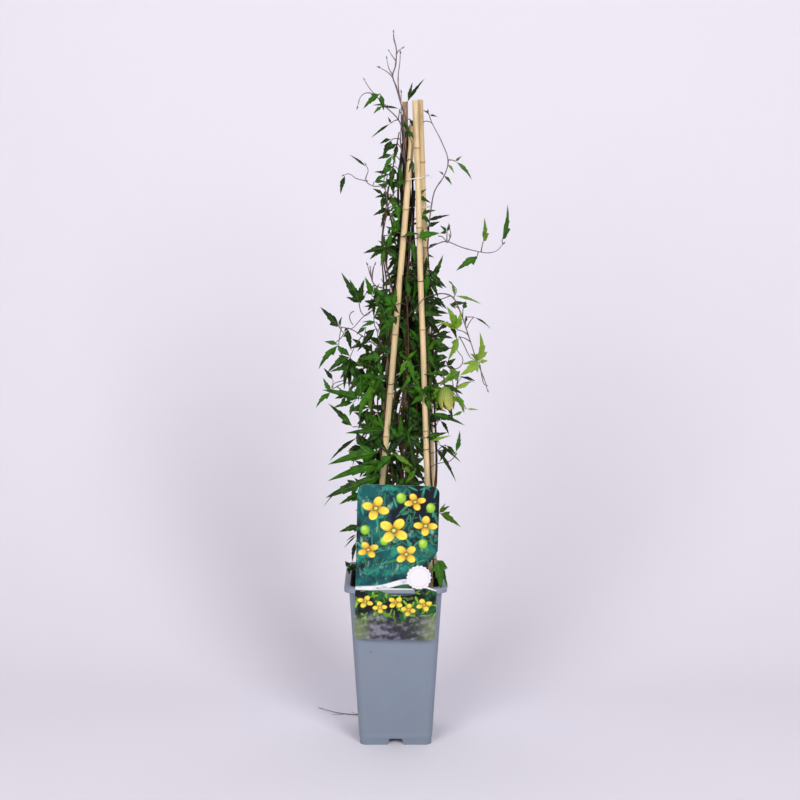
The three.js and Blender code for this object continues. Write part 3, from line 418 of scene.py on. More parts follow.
pot = {
    "height": 184, "foot": 39.8, "skirtTop": 6.6, "bodyFoot": 40.5, "bodyTop": 51, "rim": 56, "rimBand": 5.5,
    "rimLip": 1.4, "wall": 1.1, "skirtWall": 1.8, "corner": 7, "cornerSteps": 8, "floorUnder": 8,
    "floorTop": 9.8, "footWidth": 18, "footHeight": 8.6, "notchHeight": 7.5, "notchTop": 14, "notchFoot": 20,
    "notchDepth": 7, "notchRound": 2.2, "drainRadius": 4, "drainPlace": 26, "edge": 0.45, "ribHeight": 13.5,
    "colour": rgb(128, 139, 155), "streak": rgb(112, 126, 146), "low": rgb(106, 118, 134),
    "dust": rgb(160, 157, 152), "soilStainAndShade": rgb(26, 23, 20), "speck": (-0.0272, -0.0470, 0.1092),
}


def innerHalf(z):
    rise = (pot["bodyTop"] - pot["bodyFoot"]) * (z - pot["skirtTop"]) / (pot["height"] - pot["skirtTop"])
    return pot["bodyFoot"] - pot["wall"] + rise


def makePotShell():
    # each ring as its half width and its height, from the skirt's inside over the rim to the floor
    top, foot, body, rib, rim = (pot[part] for part in ("height", "foot", "bodyFoot", "ribHeight", "rim"))
    lipFoot, underRim = top - pot["rimBand"], top - pot["rimLip"] - 0.4
    skirtInner = foot - pot["skirtWall"]
    profile = [
        (skirtInner, 0), (foot, 0), (foot + 0.2, pot["skirtTop"]), (body + 0.1, pot["skirtTop"] + 0.5),
        (body + 0.35, rib - 0.5), (body + 0.28, rib), (body + 0.42, rib + 0.6), (pot["bodyTop"], underRim),
        (rim - pot["rimLip"], underRim), (rim - pot["rimLip"], lipFoot), (rim, lipFoot), (rim, top - 0.5),
        (rim - 0.5, top), (innerHalf(top), top), (innerHalf(pot["floorTop"]), pot["floorTop"]),
    ]
    half, z = skirtInner + 0.4, pot["floorUnder"]
    bpy.ops.mesh.primitive_plane_add(size=2 * half * mm, location=(0, 0, 0))
    shell = namePiece("potShell")
    editing(shell)
    bpy.ops.transform.translate(value=(0, 0, z * mm))
    bpy.ops.mesh.bevel(offset=pot["corner"] * mm, segments=pot["cornerSteps"], affect="VERTICES")
    selectAll()
    bpy.ops.mesh.delete(type="ONLY_FACE")
    selectAll()
    for nextHalf, nextZ in profile:
        extrudeRing(nextZ - z, nextHalf / half, nextZ)
        half, z = nextHalf, nextZ
    bpy.ops.mesh.edge_face_add()
    doneEditing()

    def isUnderFloor(place):
        isInside = max(abs(place.x), abs(place.y)) < (skirtInner + 0.5) * mm
        return isInside and abs(place.z - pot["floorUnder"] * mm) < 1e-6

    editingWhere(shell, isUnderFloor)
    bpy.ops.mesh.edge_face_add()
    doneOutwards()
    return shell


def makeFootCutters():
    # the notch in the middle of each side of the foot, and the drain holes
    cutters = []
    for side in range(4):
        turn = side * math.pi / 2
        bpy.ops.mesh.primitive_cube_add(size=1, location=(0, 0, 0))
        notch = namePiece("notchCutter")
        x, y, z = pointsOf(notch).T
        wide = np.where(z > 0, pot["notchTop"], pot["notchFoot"]) * mm
        deep = y * pot["notchDepth"] * mm - (pot["foot"] - 1) * mm
        setPoints(notch, np.column_stack((x * wide, deep, np.where(z > 0, pot["notchHeight"], -0.4) * mm)))
        editing(notch)
        bpy.ops.mesh.select_all(action="DESELECT")
        doneEditing()
        for edge in notch.data.edges:
            # the two upper edges that run inwards
            ends = [notch.data.vertices[i].co for i in edge.vertices]
            edge.select = all(end.z > 4 * mm for end in ends) and abs(ends[0].y - ends[1].y) > 3 * mm
        bpy.ops.object.mode_set(mode="EDIT")
        bpy.ops.mesh.bevel(offset=pot["notchRound"] * mm, segments=5, affect="EDGES")
        doneEditing()
        notch.rotation_euler = (0, 0, turn)
        cutters.append(settle(notch))
        corner = Vector((pot["drainPlace"], pot["drainPlace"], pot["floorTop"]))
        place = Matrix.Rotation(turn, 3, "Z") @ corner
        bpy.ops.mesh.primitive_cylinder_add(vertices=24, radius=pot["drainRadius"] * mm, depth=8 * mm,
                                            location=place * mm)
        cutters.append(settle(namePiece("drainCutter")))
    return joined(cutters, "footCutters")


def makePotPlastic():
    shader = newMaterial("potPlastic", Specular_IOR_Level=0.42)
    place = shader.place()
    height = shader.height(place)
    flow = shader.noise(shader.stretched(place, (60, 60, 9)), 1, 4, 0.6)
    base = shader.mix(shader.span(flow, 0.35, 0.7, 0, 0.10), pot["colour"], pot["streak"])
    # painted shade: the plastic is darker towards the bottom
    base = shader.mix(shader.span(height, 0.19, 0.0, 0, 0.24), base, pot["low"])
    away = shader.add("ShaderNodeVectorMath", operation="DISTANCE")
    shader.put(place, away.inputs[0])
    shader.put(pot["speck"], away.inputs[1])
    base = shader.mix(shader.span(away.outputs["Value"], 0.0014, 0.0007, 0, 0.6), base, pot["soilStainAndShade"])
    # the inner wall is darkened to the soil's colour down from an uneven line: in part soil stain, in part
    # painted shade inside the rim
    line = shader.plus(height, shader.span(flow, 0.3, 0.7, -0.004, 0.004))
    within = shader.span(shader.attribute("within"), 0.9, 1)
    stainedAndShaded = shader.times(within, shader.span(line, 0.183, 0.177))
    base = shader.mix(shader.times(stainedAndShaded, 0.92), base, pot["soilStainAndShade"])
    dusted = useGroup(shader, grime, Place=place, Clean=base, Dust=pot["dust"], Amount=0.12, Roughness=0.46)
    shader.base(dusted["Colour"])
    shader.rough(dusted["Roughness"])
    shader.bump(dusted["Height"], 0.12, 0.0002)
    return shader


def makePot():
    shell = makePotShell()
    wide, high = pot["footWidth"], pot["footHeight"]
    bpy.ops.mesh.primitive_cube_add(size=1, location=(0, 0, high / 2 * mm),
                                    scale=(wide * mm, wide * mm, high * mm))
    centreFoot, cutters = settle(namePiece("centreFoot")), makeFootCutters()
    addModifier(shell, "BOOLEAN", operation="UNION", object=centreFoot)
    addModifier(shell, "BOOLEAN", operation="DIFFERENCE", object=cutters)
    addModifier(shell, "BEVEL", width=pot["edge"] * mm, segments=2, limit_method="ANGLE",
                angle_limit=math.radians(38))
    applyModifiers(shell)
    for helper in (centreFoot, cutters):
        bpy.data.objects.remove(helper)
    settle(shell, 34)
    # the inner wall is where the surface looks towards the middle
    points = pointsOf(shell)
    normals = np.array([vertex.normal[:2] for vertex in shell.data.vertices])
    outward = (points[:, :2] * normals).sum(1)
    setTone(shell, "within", outward < -0.3 * np.hypot(points[:, 0], points[:, 1]))
    wear(shell, makePotPlastic())
    fit(shell, "pot")


makePot()
print("pot made")


# random draws and curves, the same for the CAD plant and this one

def randomFrom(seed):
    state = [seed]

    def draw():
        state[0] = (state[0] + 0x6D2B79F5) & 0xFFFFFFFF
        value = ((state[0] ^ (state[0] >> 15)) * (1 | state[0])) & 0xFFFFFFFF
        value = ((value + (((value ^ (value >> 7)) * (61 | value)) & 0xFFFFFFFF)) & 0xFFFFFFFF) ^ value
        return (value ^ (value >> 14)) / 4294967296

    return draw


def curveAt(points, t):
    # a Catmull-Rom curve through the points, t from 0 to 1
    last = len(points) - 1
    place = min(max(t, 0), 1) * last
    i = min(int(place), last - 1)
    u = place - i
    b, c = points[i], points[i + 1]
    a = points[i - 1] if i > 0 else 2 * b - c
    d = points[i + 2] if i + 2 <= last else 2 * c - b
    square, cube = 2 * a - 5 * b + 4 * c - d, 3 * b - a - 3 * c + d
    return 0.5 * (2 * b + (c - a) * u + square * u ** 2 + cube * u ** 3)


def evenPoints(points, stepLength=None, steps=None):
    # points at even steps along the curve through the given ones
    points = [np.array(point, float) for point in points]
    fine = np.array([curveAt(points, i / 200) for i in range(201)])
    lengths = np.concatenate(([0], np.cumsum(np.linalg.norm(np.diff(fine, axis=0), axis=1))))
    steps = steps or max(2, math.floor(lengths[-1] / stepLength + 0.5))
    along = np.interp(np.linspace(0, lengths[-1], steps + 1), lengths, np.arange(201) / 200)
    return np.array([curveAt(points, t) for t in along])


def nearestOn(lines, place):
    best = None
    for line in lines:
        starts, ways = line[:-1], np.diff(line, axis=0)
        share = np.clip(((place - starts) * ways).sum(1) / (ways ** 2).sum(1), 0, 1)
        found = starts + ways * share[:, None]
        away = np.linalg.norm(found - place, axis=1)
        if best is None or away.min() < best[0] - 1e-9:
            best = (away.min(), found[away.argmin()])
    return best[1]


def lineAt(points, z):
    i = 1
    while i < len(points) - 1 and points[i][2] < z:
        i += 1
    low, high = np.array(points[i - 1], float), np.array(points[i], float)
    return (low + (high - low) * (z - low[2]) / (high[2] - low[2]))[:2]


def makeTubes(name, lines, sides, shader):
    # closed round rods, each along its own points with its own radii
    bpy.ops.curve.primitive_nurbs_path_add()
    piece = namePiece(name)
    curve = piece.data
    curve.splines.clear()
    curve.dimensions = "3D"
    curve.bevel_depth = mm
    curve.bevel_resolution = (sides - 4) // 2
    curve.use_fill_caps = True
    for points, radii in lines:
        spline = curve.splines.new("POLY")
        spline.points.add(len(points) - 1)
        places = np.column_stack((np.asarray(points) * mm, np.ones(len(points))))
        spline.points.foreach_set("co", places.ravel().astype(np.float32))
        spline.points.foreach_set("radius", np.broadcast_to(radii, len(points)).astype(np.float32))
    selectOnly(piece)
    bpy.ops.object.convert(target="MESH")
    piece = namePiece(name)
    editing(piece)
    bpy.ops.mesh.remove_doubles(threshold=1e-6)
    doneOutwards()
    wear(piece, shader)
    return settle(piece, 60)


def makeCopy(template, points):
    piece = template.copy()
    piece.data = template.data.copy()
    bpy.context.collection.objects.link(piece)
    setPoints(piece, np.asarray(points) * mm)
    return piece


# soil: a rough crumbled top on the root ball

soil = {
    "edge": 167.5, "crown": 170, "foot": 10.1, "clear": 0.3, "corner": 6.5, "cells": 84, "rough": 1.5,
    "grain": 0.09, "crumbs": 260,
    "colour": rgb(58, 44, 34), "wet": rgb(30, 22, 17), "fibre": rgb(120, 92, 62),
}


def soilAt(x, y, half):
    # the height of the smooth top, and how far in from the wall it is
    inward = 1 - max(abs(x), abs(y)) / half
    return soil["edge"] + (soil["crown"] - soil["edge"]) * min(1, inward * 2.2), inward


def makeSoilBody(half):
    bpy.ops.mesh.primitive_grid_add(x_subdivisions=soil["cells"], y_subdivisions=soil["cells"], size=2)
    body = namePiece("soilBody")
    editing(body)
    bpy.ops.mesh.extrude_region_move(TRANSFORM_OT_translate={"value": (0, 0, 1)})
    doneOutwards()
    points = pointsOf(body)
    isTop = points[:, 2] > 0.5
    for rows, width in ((isTop, half), (~isTop, innerHalf(soil["foot"]) - soil["clear"])):
        # the square is drawn in at its corners to round them
        plan = points[rows, :2] * width
        over = np.maximum(np.abs(plan) - (width - soil["corner"]), 0)
        reach = np.linalg.norm(over, axis=1)
        square = np.maximum(over[:, 0], over[:, 1])
        squeeze = np.where(reach > 1e-6, square / np.maximum(reach, 1e-6), 1)[:, None]
        straight = np.minimum(np.abs(plan), width - soil["corner"])
        points[rows, :2] = np.sign(plan) * (straight + over * squeeze)
    for i in np.flatnonzero(isTop):
        x, y = points[i, :2]
        height, inward = soilAt(x, y, half)
        bumps = noise.fractal(Vector((x, y, 3)) * soil["grain"], 0.8, 2.1, 5)
        points[i, 2] = height + bumps * soil["rough"] * min(1, inward * 9)
    points[~isTop, 2] = soil["foot"]
    setPoints(body, points * mm)
    return settle(body, 60)


def makeSoil():
    random = randomFrom(5)
    half = innerHalf(soil["edge"]) - soil["clear"]
    body = makeSoilBody(half)
    bpy.ops.mesh.primitive_ico_sphere_add(subdivisions=1, radius=1)
    template = namePiece("soilCrumb")
    shape = pointsOf(template)
    crumbs = []
    for i in range(soil["crumbs"]):
        size = 0.6 + 2.1 * random() ** 2
        stretch = np.array([1 + random(), 0.6 + 0.5 * random(), 0.5 + 0.3 * random()])
        turn = np.array(Matrix.Rotation(6.3 * random(), 3, (random(), random(), random())))
        x, y = (2 * random() - 1) * (half - 3), (2 * random() - 1) * (half - 3)
        knobbly = 1 + 0.25 * np.sin(shape @ np.array([5.1, 7.3, 6.2]) + i)
        placed = (shape * knobbly[:, None] * size * stretch) @ turn.T
        crumbs.append(makeCopy(template, placed + np.array([x, y, soilAt(x, y, half)[0] + 0.4 * size])))
        setTone(crumbs[-1], "tone", random() ** 3)
    bpy.data.objects.remove(template)
    setTone(body, "tone", 0.15)
    body = joined([body] + crumbs, "soilBody")
    settle(body, 60)

    shader = newMaterial("pottingSoil", Roughness=0.96, Specular_IOR_Level=0.2)
    place = shader.place()
    tone = shader.plus(shader.noise(place, 260, 5, 0.7), shader.times(shader.attribute("tone"), 0.5))
    base = shader.mix(shader.span(tone, 0.4, 0.75), soil["wet"], soil["colour"])
    base = shader.mix(shader.span(shader.noise(place, 800, 2), 0.66, 0.78), base, soil["fibre"])
    shader.base(base)
    shader.bump(shader.cells(place, 900), 0.6, 0.0008)
    wear(body, shader)
    fit(body, "soil")


makeSoil()
print("soil made")


# canes: bamboo, swollen and ringed at each joint, with a hollow cut top; the middle one is an old brown
# stake, whose darker copy of the bamboo also carries painted shade

caneLines = {
    "cane_front_left": [(-31, -31, 16), (-25.6, -30, 165), (19.2, -0.5, 684)],
    "cane_back_left": [(-32, 31, 12), (-30, 32, 165), (-5, 24.5, 452), (17.5, 16, 680)],
    "cane_front_right": [(33, -31, 12), (38.8, -32, 165), (20.8, -9.5, 705)],
    "cane_back_right": [(33, 31, 12), (44.2, 34, 165), (41, 28, 300), (26.6, 3.5, 706)],
    "stake_middle": [(13.5, 15, 16), (13.5, 15, 165), (12.6, 13, 400), (10.4, 8, 704)],
}
caneKnuckles = {
    "cane_front_left": [90, 214, 345, 392, 456, 590],
    "cane_back_left": [70, 190, 330, 470, 610],
    "cane_front_right": [110, 236, 352, 462, 571, 655],
    "cane_back_right": [80, 205, 318, 437, 548, 640],
    "stake_middle": [96, 232, 352, 476, 588, 668],
}
cane = {
    "radius": 3.1, "bore": 1.3, "boreDepth": 5, "step": 9, "sides": 20, "sway": 0.5, "jointReach": 3.2,
    "pale": rgb(232, 204, 158), "tan": rgb(190, 162, 116), "ring": rgb(112, 74, 40),
    "mould": rgb(128, 128, 92), "shadePale": rgb(190, 156, 104), "shadeTan": rgb(138, 100, 60),
    # a joint's rings: how far above or below it, and how much wider than the cane
    "swell": {-3.2: 0, -1.6: 0.1, -0.7: 0.32, -0.2: 0.5, 0.3: 0.36, 0.8: 0.5, 1.4: 0.22, 3: 0.05},
}


def caneRings(name):
    # heights and radii up the cane, closer together at each joint
    line, joints = caneLines[name], caneKnuckles[name]
    foot, top = line[0][2], line[-1][2]
    rings = [(foot + i * cane["step"], 0) for i in range(1, int((top - foot) / cane["step"]))]
    rings = [(z, out) for z, out in rings if all(abs(z - joint) > 5 for joint in joints)]
    rings += [(joint + offset, out) for joint in joints for offset, out in cane["swell"].items()]
    return [(foot, 0)] + sorted(rings) + [(top - 0.3, 0), (top, -0.3)]


def makeCane(name, order, shader):
    line = caneLines[name]
    rings = caneRings(name)
    z, radius = 0.0, cane["radius"]
    bpy.ops.mesh.primitive_circle_add(vertices=cane["sides"], radius=radius * mm, fill_type="NGON")
    piece = namePiece(name + "Cane")
    editing(piece)
    for height, out in rings[1:]:
        nextRadius = cane["radius"] + out
        step = height - rings[0][0] - z
        extrudeRing(step, nextRadius / radius)
        z, radius = z + step, nextRadius
    for nextRadius, drop in ((cane["bore"], 0), (cane["bore"] * 0.8, cane["boreDepth"])):
        extrudeRing(-drop, nextRadius / radius)
        radius = nextRadius
    doneOutwards()
    # the straight cane is laid along its line, a little oval and crooked
    points = pointsOf(piece) / mm
    heights = points[:, 2] + line[0][2]
    near = np.abs(heights[:, None] - np.array(caneKnuckles[name])[None, :]).min(1)
    for i, z in enumerate(heights):
        x, y = lineAt(line, z)
        turn = math.atan2(points[i, 1], points[i, 0])
        uneven = noise.noise(Vector((order * 9, z * 0.03, turn)))
        oval = 1 + 0.05 * math.cos(2 * turn + order) + 0.03 * uneven
        sway = noise.noise_vector(Vector((order * 7.1, z * 0.012, 0))) * cane["sway"]
        points[i] = (points[i, 0] * oval + x + sway.x, points[i, 1] * oval + y + sway.y, z)
    setPoints(piece, points * mm)
    setTone(piece, "joint", np.clip(1 - near / cane["jointReach"], 0, 1))
    setTone(piece, "order", order)
    settle(piece, 50)
    wear(piece, shader)
    fit(piece, name)


def makeBambooMaterial(name, pale, tan):
    shader = newMaterial(name, Specular_IOR_Level=0.5)
    place = shader.place()
    # each cane reads another part of the pattern
    shifted = shader.add("ShaderNodeVectorMath", operation="ADD")
    shader.put(place, shifted.inputs[0])
    shader.put(shader.times(shader.attribute("order"), 0.7), shifted.inputs[1])
    where = shifted.outputs[0]
    streaks = shader.noise(shader.stretched(where, (900, 900, 14)), 1, 5, 0.65)
    broad = shader.noise(shader.stretched(where, (70, 70, 9)), 1, 4, 0.6, 0.6)
    spots = shader.noise(shader.stretched(where, (420, 420, 190)), 1, 3, 0.7)
    base = shader.mix(shader.span(streaks, 0.35, 0.7, 0.1, 0.8), pale, tan)
    base = shader.mix(shader.span(broad, 0.5, 0.75, 0, 0.55), base, tan)
    low = shader.span(shader.height(place), 0.55, 0.3, 0.05, 0.75)
    base = shader.mix(shader.times(low, shader.span(broad, 0.34, 0.58)), base, cane["mould"])
    base = shader.mix(shader.span(spots, 0.7, 0.8, 0, 0.7), base, cane["ring"])
    joint = shader.span(shader.attribute("joint"), 0.55, 0.9)
    shader.base(shader.mix(shader.times(joint, 0.6), base, cane["ring"]))
    shader.rough(shader.span(streaks, 0.3, 0.7, 0.34, 0.55))
    shader.bump(streaks, 0.35, 0.0003)
    return shader


bamboo = makeBambooMaterial("bambooPale", cane["pale"], cane["tan"])
# a darker, browner copy of the bamboo for the middle stake: its own brown with painted shade
shadedBamboo = makeBambooMaterial("bambooShaded", cane["shadePale"], cane["shadeTan"])
for order, name in enumerate(caneLines):
    makeCane(name, order, shadedBamboo if name == "stake_middle" else bamboo)
print("canes made")


# wire ties round the canes, each with its two ends twisted together; the lower one passes behind
# the front canes

tie = {
    "radius": 0.6, "slack": 1.4, "twistRadius": 0.42, "twists": 4.5,
    "colour": rgb(236, 226, 218), "worn": rgb(188, 170, 158),
}
ties = {
    "tie_upper": {"height": 621.5, "climb": 0.18, "round": list(caneLines), "past": []},
    "tie_lower": {"height": 592, "climb": 0, "round": ["cane_back_left", "cane_back_right", "stake_middle"],
                  "past": [(16.2, 6.6)]},
}


def makeTies():
    shader = newMaterial("tieWire", Roughness=0.42)
    wearing = shader.noise(shader.place(), 700, 3)
    shader.base(shader.mix(shader.span(wearing, 0.55, 0.75, 0, 0.5), tie["colour"], tie["worn"]))
    shader.bump(wearing, 0.15, 0.0001)
    for name, made in ties.items():
        z = made["height"]
        centres = np.array([lineAt(caneLines[held], z) for held in made["round"]] + made["past"])
        heart = lineAt(caneLines["stake_middle"], z)[0]
        reach = cane["radius"] + tie["slack"]
        loop = []
        for turn in np.linspace(0, 2 * math.pi, 73):
            # round the cane that stands out furthest this way
            out = np.array([math.cos(turn), math.sin(turn)])
            x, y = centres[(centres @ out).argmax()] + reach * out
            loop.append((x, y, z + made["climb"] * (x - heart) + 0.35 * math.sin(turn + z)))
        x, y = lineAt(caneLines["cane_back_right"], z)
        start = np.array([x + reach * 0.9, y - reach * 0.45, z + made["climb"] * (x + reach - heart)])
        middle, end = start + np.array([2.6, -2.6, 0.8]), start + np.array([4.4, -4.6, -2.6])
        spine = evenPoints([start, middle, end], steps=24)
        lines = [(loop, tie["radius"])]
        for side in (0, math.pi):
            turns = side + np.linspace(0, tie["twists"] * math.pi, len(spine))
            coil = np.column_stack((0.45 * np.cos(turns), 0.3 * np.cos(turns), 0.45 * np.sin(turns)))
            lines.append((spine + coil, tie["twistRadius"]))
        fit(makeTubes(name + "Wire", lines, 8, shader), name)


makeTies()
print("ties made")


# card: a thin printed sheet that hooks over the rim; its picture is worked out point by point

card = {
    "width": 88, "height": 172, "thickness": 0.6, "centre": (1.2, 212.7), "lean": 1.5,
    "topCorner": 9, "footCorner": 6.5, "shoulder": ((44, 14.6), (34.5, -1.5)), "seal": (24.5, -15.4, 13.9),
    "hip": -29.5, "slot": (-21.5, 20.5), "slotDrop": 9, "tongueHalf": 19, "tongueDrop": 14, "cell": 0.62,
}


def cardEdges(v):
    # the left and right edge of the card at a height, from its middle
    halfWide, halfHigh = card["width"] / 2, card["height"] / 2
    right = np.full_like(v, halfWide)
    (shoulderU, shoulderV), (waistU, waistV) = card["shoulder"]
    sealU, sealV, sealR = card["seal"]
    arcV = sealR * math.sin(math.radians(48))
    arcU = sealU + sealR * math.cos(math.radians(48))
    slope = (v <= shoulderV) & (v >= waistV)
    right[slope] = waistU + (shoulderU - waistU) * (v[slope] - waistV) / (shoulderV - waistV)
    neck = (v < waistV) & (v > sealV + arcV)
    right[neck] = arcU + (waistU - arcU) * (v[neck] - sealV - arcV) / (waistV - sealV - arcV)
    bulge = np.abs(v - sealV) <= arcV
    right[bulge] = sealU + np.sqrt(sealR ** 2 - (v[bulge] - sealV) ** 2)
    hip = (v < sealV - arcV) & (v > card["hip"])
    right[hip] = halfWide + (arcU - halfWide) * (v[hip] - card["hip"]) / (sealV - arcV - card["hip"])
    left = np.full_like(v, -halfWide)
    for radius, into in ((card["topCorner"], v - (halfHigh - card["topCorner"])),
                         (card["footCorner"], -v - (halfHigh - card["footCorner"]))):
        depth = np.clip(into, 0, radius)
        cutIn = radius - np.sqrt(np.maximum(radius ** 2 - depth ** 2, 0))
        left += cutIn
        right -= cutIn
    return left, right


def slotFoot(u):
    # the curved lower edge of the slot, a quadratic from its left end
    top = pot["height"] + 0.7 - card["centre"][1]
    left, right = card["slot"]
    t = np.linspace(0, 1, 60)
    bend = [(left, top), (left + 14, top - card["slotDrop"] - 3), (right, top - card["slotDrop"] + 3)]
    x = (1 - t) ** 2 * bend[0][0] + 2 * t * (1 - t) * bend[1][0] + t ** 2 * bend[2][0]
    y = (1 - t) ** 2 * bend[0][1] + 2 * t * (1 - t) * bend[1][1] + t ** 2 * bend[2][1]
    return top, np.where((u > left) & (u < right), np.interp(u, x, y), top)


def softStep(value, low, high):
    t = np.clip((value - low) / (high - low), 0, 1)
    return t * t * (3 - 2 * t)


aboutATurn = 6.283


def mottle(u, v, seed, scale, layers=7):
    # smooth marbling from 0 to 1
    random = randomFrom(seed)
    total, weight = np.zeros_like(u), 0
    for i in range(layers):
        turn, size = aboutATurn * random(), scale * 1.45 ** i
        cosine, sine = math.cos(turn), math.sin(turn)
        along, across = u * cosine + v * sine, v * cosine - u * sine
        total += np.sin(size * along + aboutATurn * random() + 1.4 * np.sin(0.7 * size * across)) / 1.25 ** i
        weight += 1 / 1.25 ** i
    return 0.5 + 0.5 * total / weight


def paint(ink, mask, tint):
    # a colour, or one for each point, laid over the picture where the mask is
    ink[:] = ink + (np.asarray(tint)[..., :3] - ink) * mask[:, None]


def paintBlade(ink, u, v, at, tip, width, tint, rib):
    # one pointed leaf of the picture
    way = np.subtract(tip, at)
    length = np.hypot(*way)
    way = way / length
    along = ((u - at[0]) * way[0] + (v - at[1]) * way[1]) / length
    aside = (v - at[1]) * way[0] - (u - at[0]) * way[1]
    half = width * np.clip(along, 0, 1) ** 0.6 * np.clip(1 - along, 0, 1) ** 0.8 * 1.5
    inside = softStep(half - np.abs(aside), -0.25, 0.35) * (along > 0) * (along < 1)
    paint(ink, inside * 0.95, tint)
    shade = inside * softStep(aside, 0, width * 0.6) * 0.4
    paint(ink, shade, (0.01, 0.03, 0.01))
    paint(ink, inside * (np.abs(aside) < 0.3) * 0.35, rib)


def paintFlower(ink, u, v, at, size, turn, squash, warm):
    # an open flower of the picture: pointed petals that shade to the heart, and a tuft of stamens
    x, y = u - at[0], (v - at[1]) / squash
    away, angle = np.hypot(x, y) / size, np.arctan2(y, x) - turn
    part = np.abs((angle * picture["petals"] / (2 * math.pi)) % 1 - 0.5) * 2
    reach = 0.30 + 0.70 * (1 - part ** 1.7)
    inside = softStep(reach - away, -0.02, 0.05)
    fold = mottle(u, v, 50 + round(size), 0.5, 4)
    petals = np.tile(picture["petalPale"][:3], (len(u), 1))
    paint(petals, np.clip(warm + part * 0.7 - away * 0.6 + fold * 0.25, 0, 1), picture["petalDeep"])
    paint(ink, inside, petals * (0.5 + 0.5 * softStep(away + 0.4 * fold, 0.2, 0.9))[:, None])
    paint(ink, inside * softStep(part, 0.86, 1.0) * 0.55, rgb(120, 92, 14))
    paint(ink, inside * (part < 0.07) * (away < 0.8) * 0.35, rgb(190, 150, 40))
    tuft = softStep(0.24 + 0.05 * np.sin(angle * 17) - away, -0.02, 0.04)
    paint(ink, tuft, rgb(112, 92, 20))
    paint(ink, tuft * softStep(0.13 - away, -0.02, 0.03), rgb(206, 214, 120))


def paintBud(ink, u, v, at, size):
    # a round closed bud of the picture
    away = np.hypot(u - at[0], (v - at[1]) / 1.1) / size
    light = np.hypot(u - at[0] + size * 0.3, v - at[1] - size * 0.4) / size
    inside = softStep(1 - away, -0.02, 0.08)
    paint(ink, inside, picture["lime"])
    paint(ink, inside * softStep(away, 0.55, 1.0) * 0.6, picture["moss"])
    paint(ink, inside * softStep(0.8 - light, 0, 0.6) * 0.6, rgb(208, 232, 112))


picture = {
    "night": rgb(5, 14, 30), "sea": rgb(8, 84, 86), "teal": rgb(30, 138, 118), "moss": rgb(36, 104, 50),
    "lime": rgb(146, 196, 50), "pale": rgb(176, 216, 190), "white": rgb(226, 224, 230),
    "violet": rgb(120, 112, 140), "stone": rgb(112, 108, 124), "mist": rgb(140, 158, 104),
    "rib": rgb(110, 178, 150), "petalPale": rgb(255, 222, 76), "petalDeep": rgb(206, 118, 22),
    "blades": 130, "bladesBelow": 90, "petals": 4,
    # flowers: place, size, turn, how flat they are seen, how warm their colour is; buds: place, size
    "flowers": [(-24, 60, 15, 0.5, 0.9, 0.1), (18, 68, 12, 1.1, 0.8, 0.25), (-4, 36, 17, 0.2, 0.9, 0),
                (30, 42, 13, 0.75, 0.85, 0.2), (-31, 14, 12, 1.3, 0.8, 0.3), (10, 10, 13, 0, 0.9, 0.15)],
    "flowersBelow": [(-33, -44, 9, 0.4, 0.8, 0.1), (-17, -50, 8, 0.9, 0.85, 0.05),
                     (0, -44, 9, 0.1, 0.8, 0.1), (14, -52, 8, 0.6, 0.9, 0.2), (31, -46, 9, 1.2, 0.8, 0.1)],
    "buds": [(-35, 36, 5), (3, 72, 5.5), (35, 62, 5), (-14, 24, 4.5), (28, 22, 5)],
}


def tinted(name):
    return np.array(picture[name][:3])


def bladeEnds(random, foot, high, shortest, longer):
    # where a leaf of the picture starts, and its tip
    at = (card["width"] * random() - card["width"] / 2, high * random() + foot)
    turn, length = aboutATurn * random(), shortest + longer * random()
    return at, (at[0] + length * math.cos(turn), at[1] + length * math.sin(turn))


def paintTop(ink, u, v, random):
    # leaves and open flowers before a dark green and blue ground
    plain = 1 - softStep(mottle(u, v, 5, 0.045) + 0.25 * (u - v * 0.1) / 44, 0.42, 0.72)
    paint(ink, softStep(mottle(u, v, 3, 0.07), 0.2, 0.6) * plain, picture["sea"])
    paint(ink, softStep(mottle(u * 0.6, v, 8, 0.24), 0.48, 0.8) * 0.9 * plain, picture["teal"])
    paint(ink, softStep(mottle(u, v * 0.6, 15, 0.3), 0.62, 0.9) * 0.5 * plain, picture["pale"])
    for i in range(picture["blades"]):
        at, tip = bladeEnds(random, -14, 100, 6, 11)
        share = random()
        green, wide = tinted("moss") * share + tinted("teal") * (1 - share), 1.6 + 1.8 * random()
        paintBlade(ink, u, v, at, tip, wide, green * (0.2 + 1.2 * random() ** 2), picture["rib"])
    for x, y, size in picture["buds"]:
        paintBud(ink, u, v, (x, y), size)
    for x, y, *shape in picture["flowers"]:
        paintFlower(ink, u, v, (x, y), *shape)


def paintFoot(ink, u, v, random):
    # small flowers over stones and mist
    paint(ink, softStep(mottle(u, v, 21, 0.16), 0.4, 0.7) * 0.8, picture["moss"])
    for i in range(picture["bladesBelow"]):
        at, tip = bladeEnds(random, -32, -40, 4, 7)
        green = tinted("lime") * (0.15 + 0.85 * random())
        paintBlade(ink, u, v, at, tip, 1.4 + 1.2 * random(), green, picture["lime"])
    for x, y, *shape in picture["flowersBelow"]:
        paintFlower(ink, u, v, (x, y), *shape)
    pebbles = 0.6 * mottle(u, v * 1.6, 31, 0.35, 9) + 0.4 * mottle(u, v, 33, 0.09)
    stones = tinted("stone")[None, :] * (0.2 + 1.2 * softStep(pebbles, 0.4, 0.72))[:, None]
    paint(stones, softStep(np.abs(u), 20, 42) * 0.55, picture["mist"])
    paint(ink, softStep(-58 - v + 10 * mottle(u, v, 35, 0.12), 0, 16) * 0.9, stones)


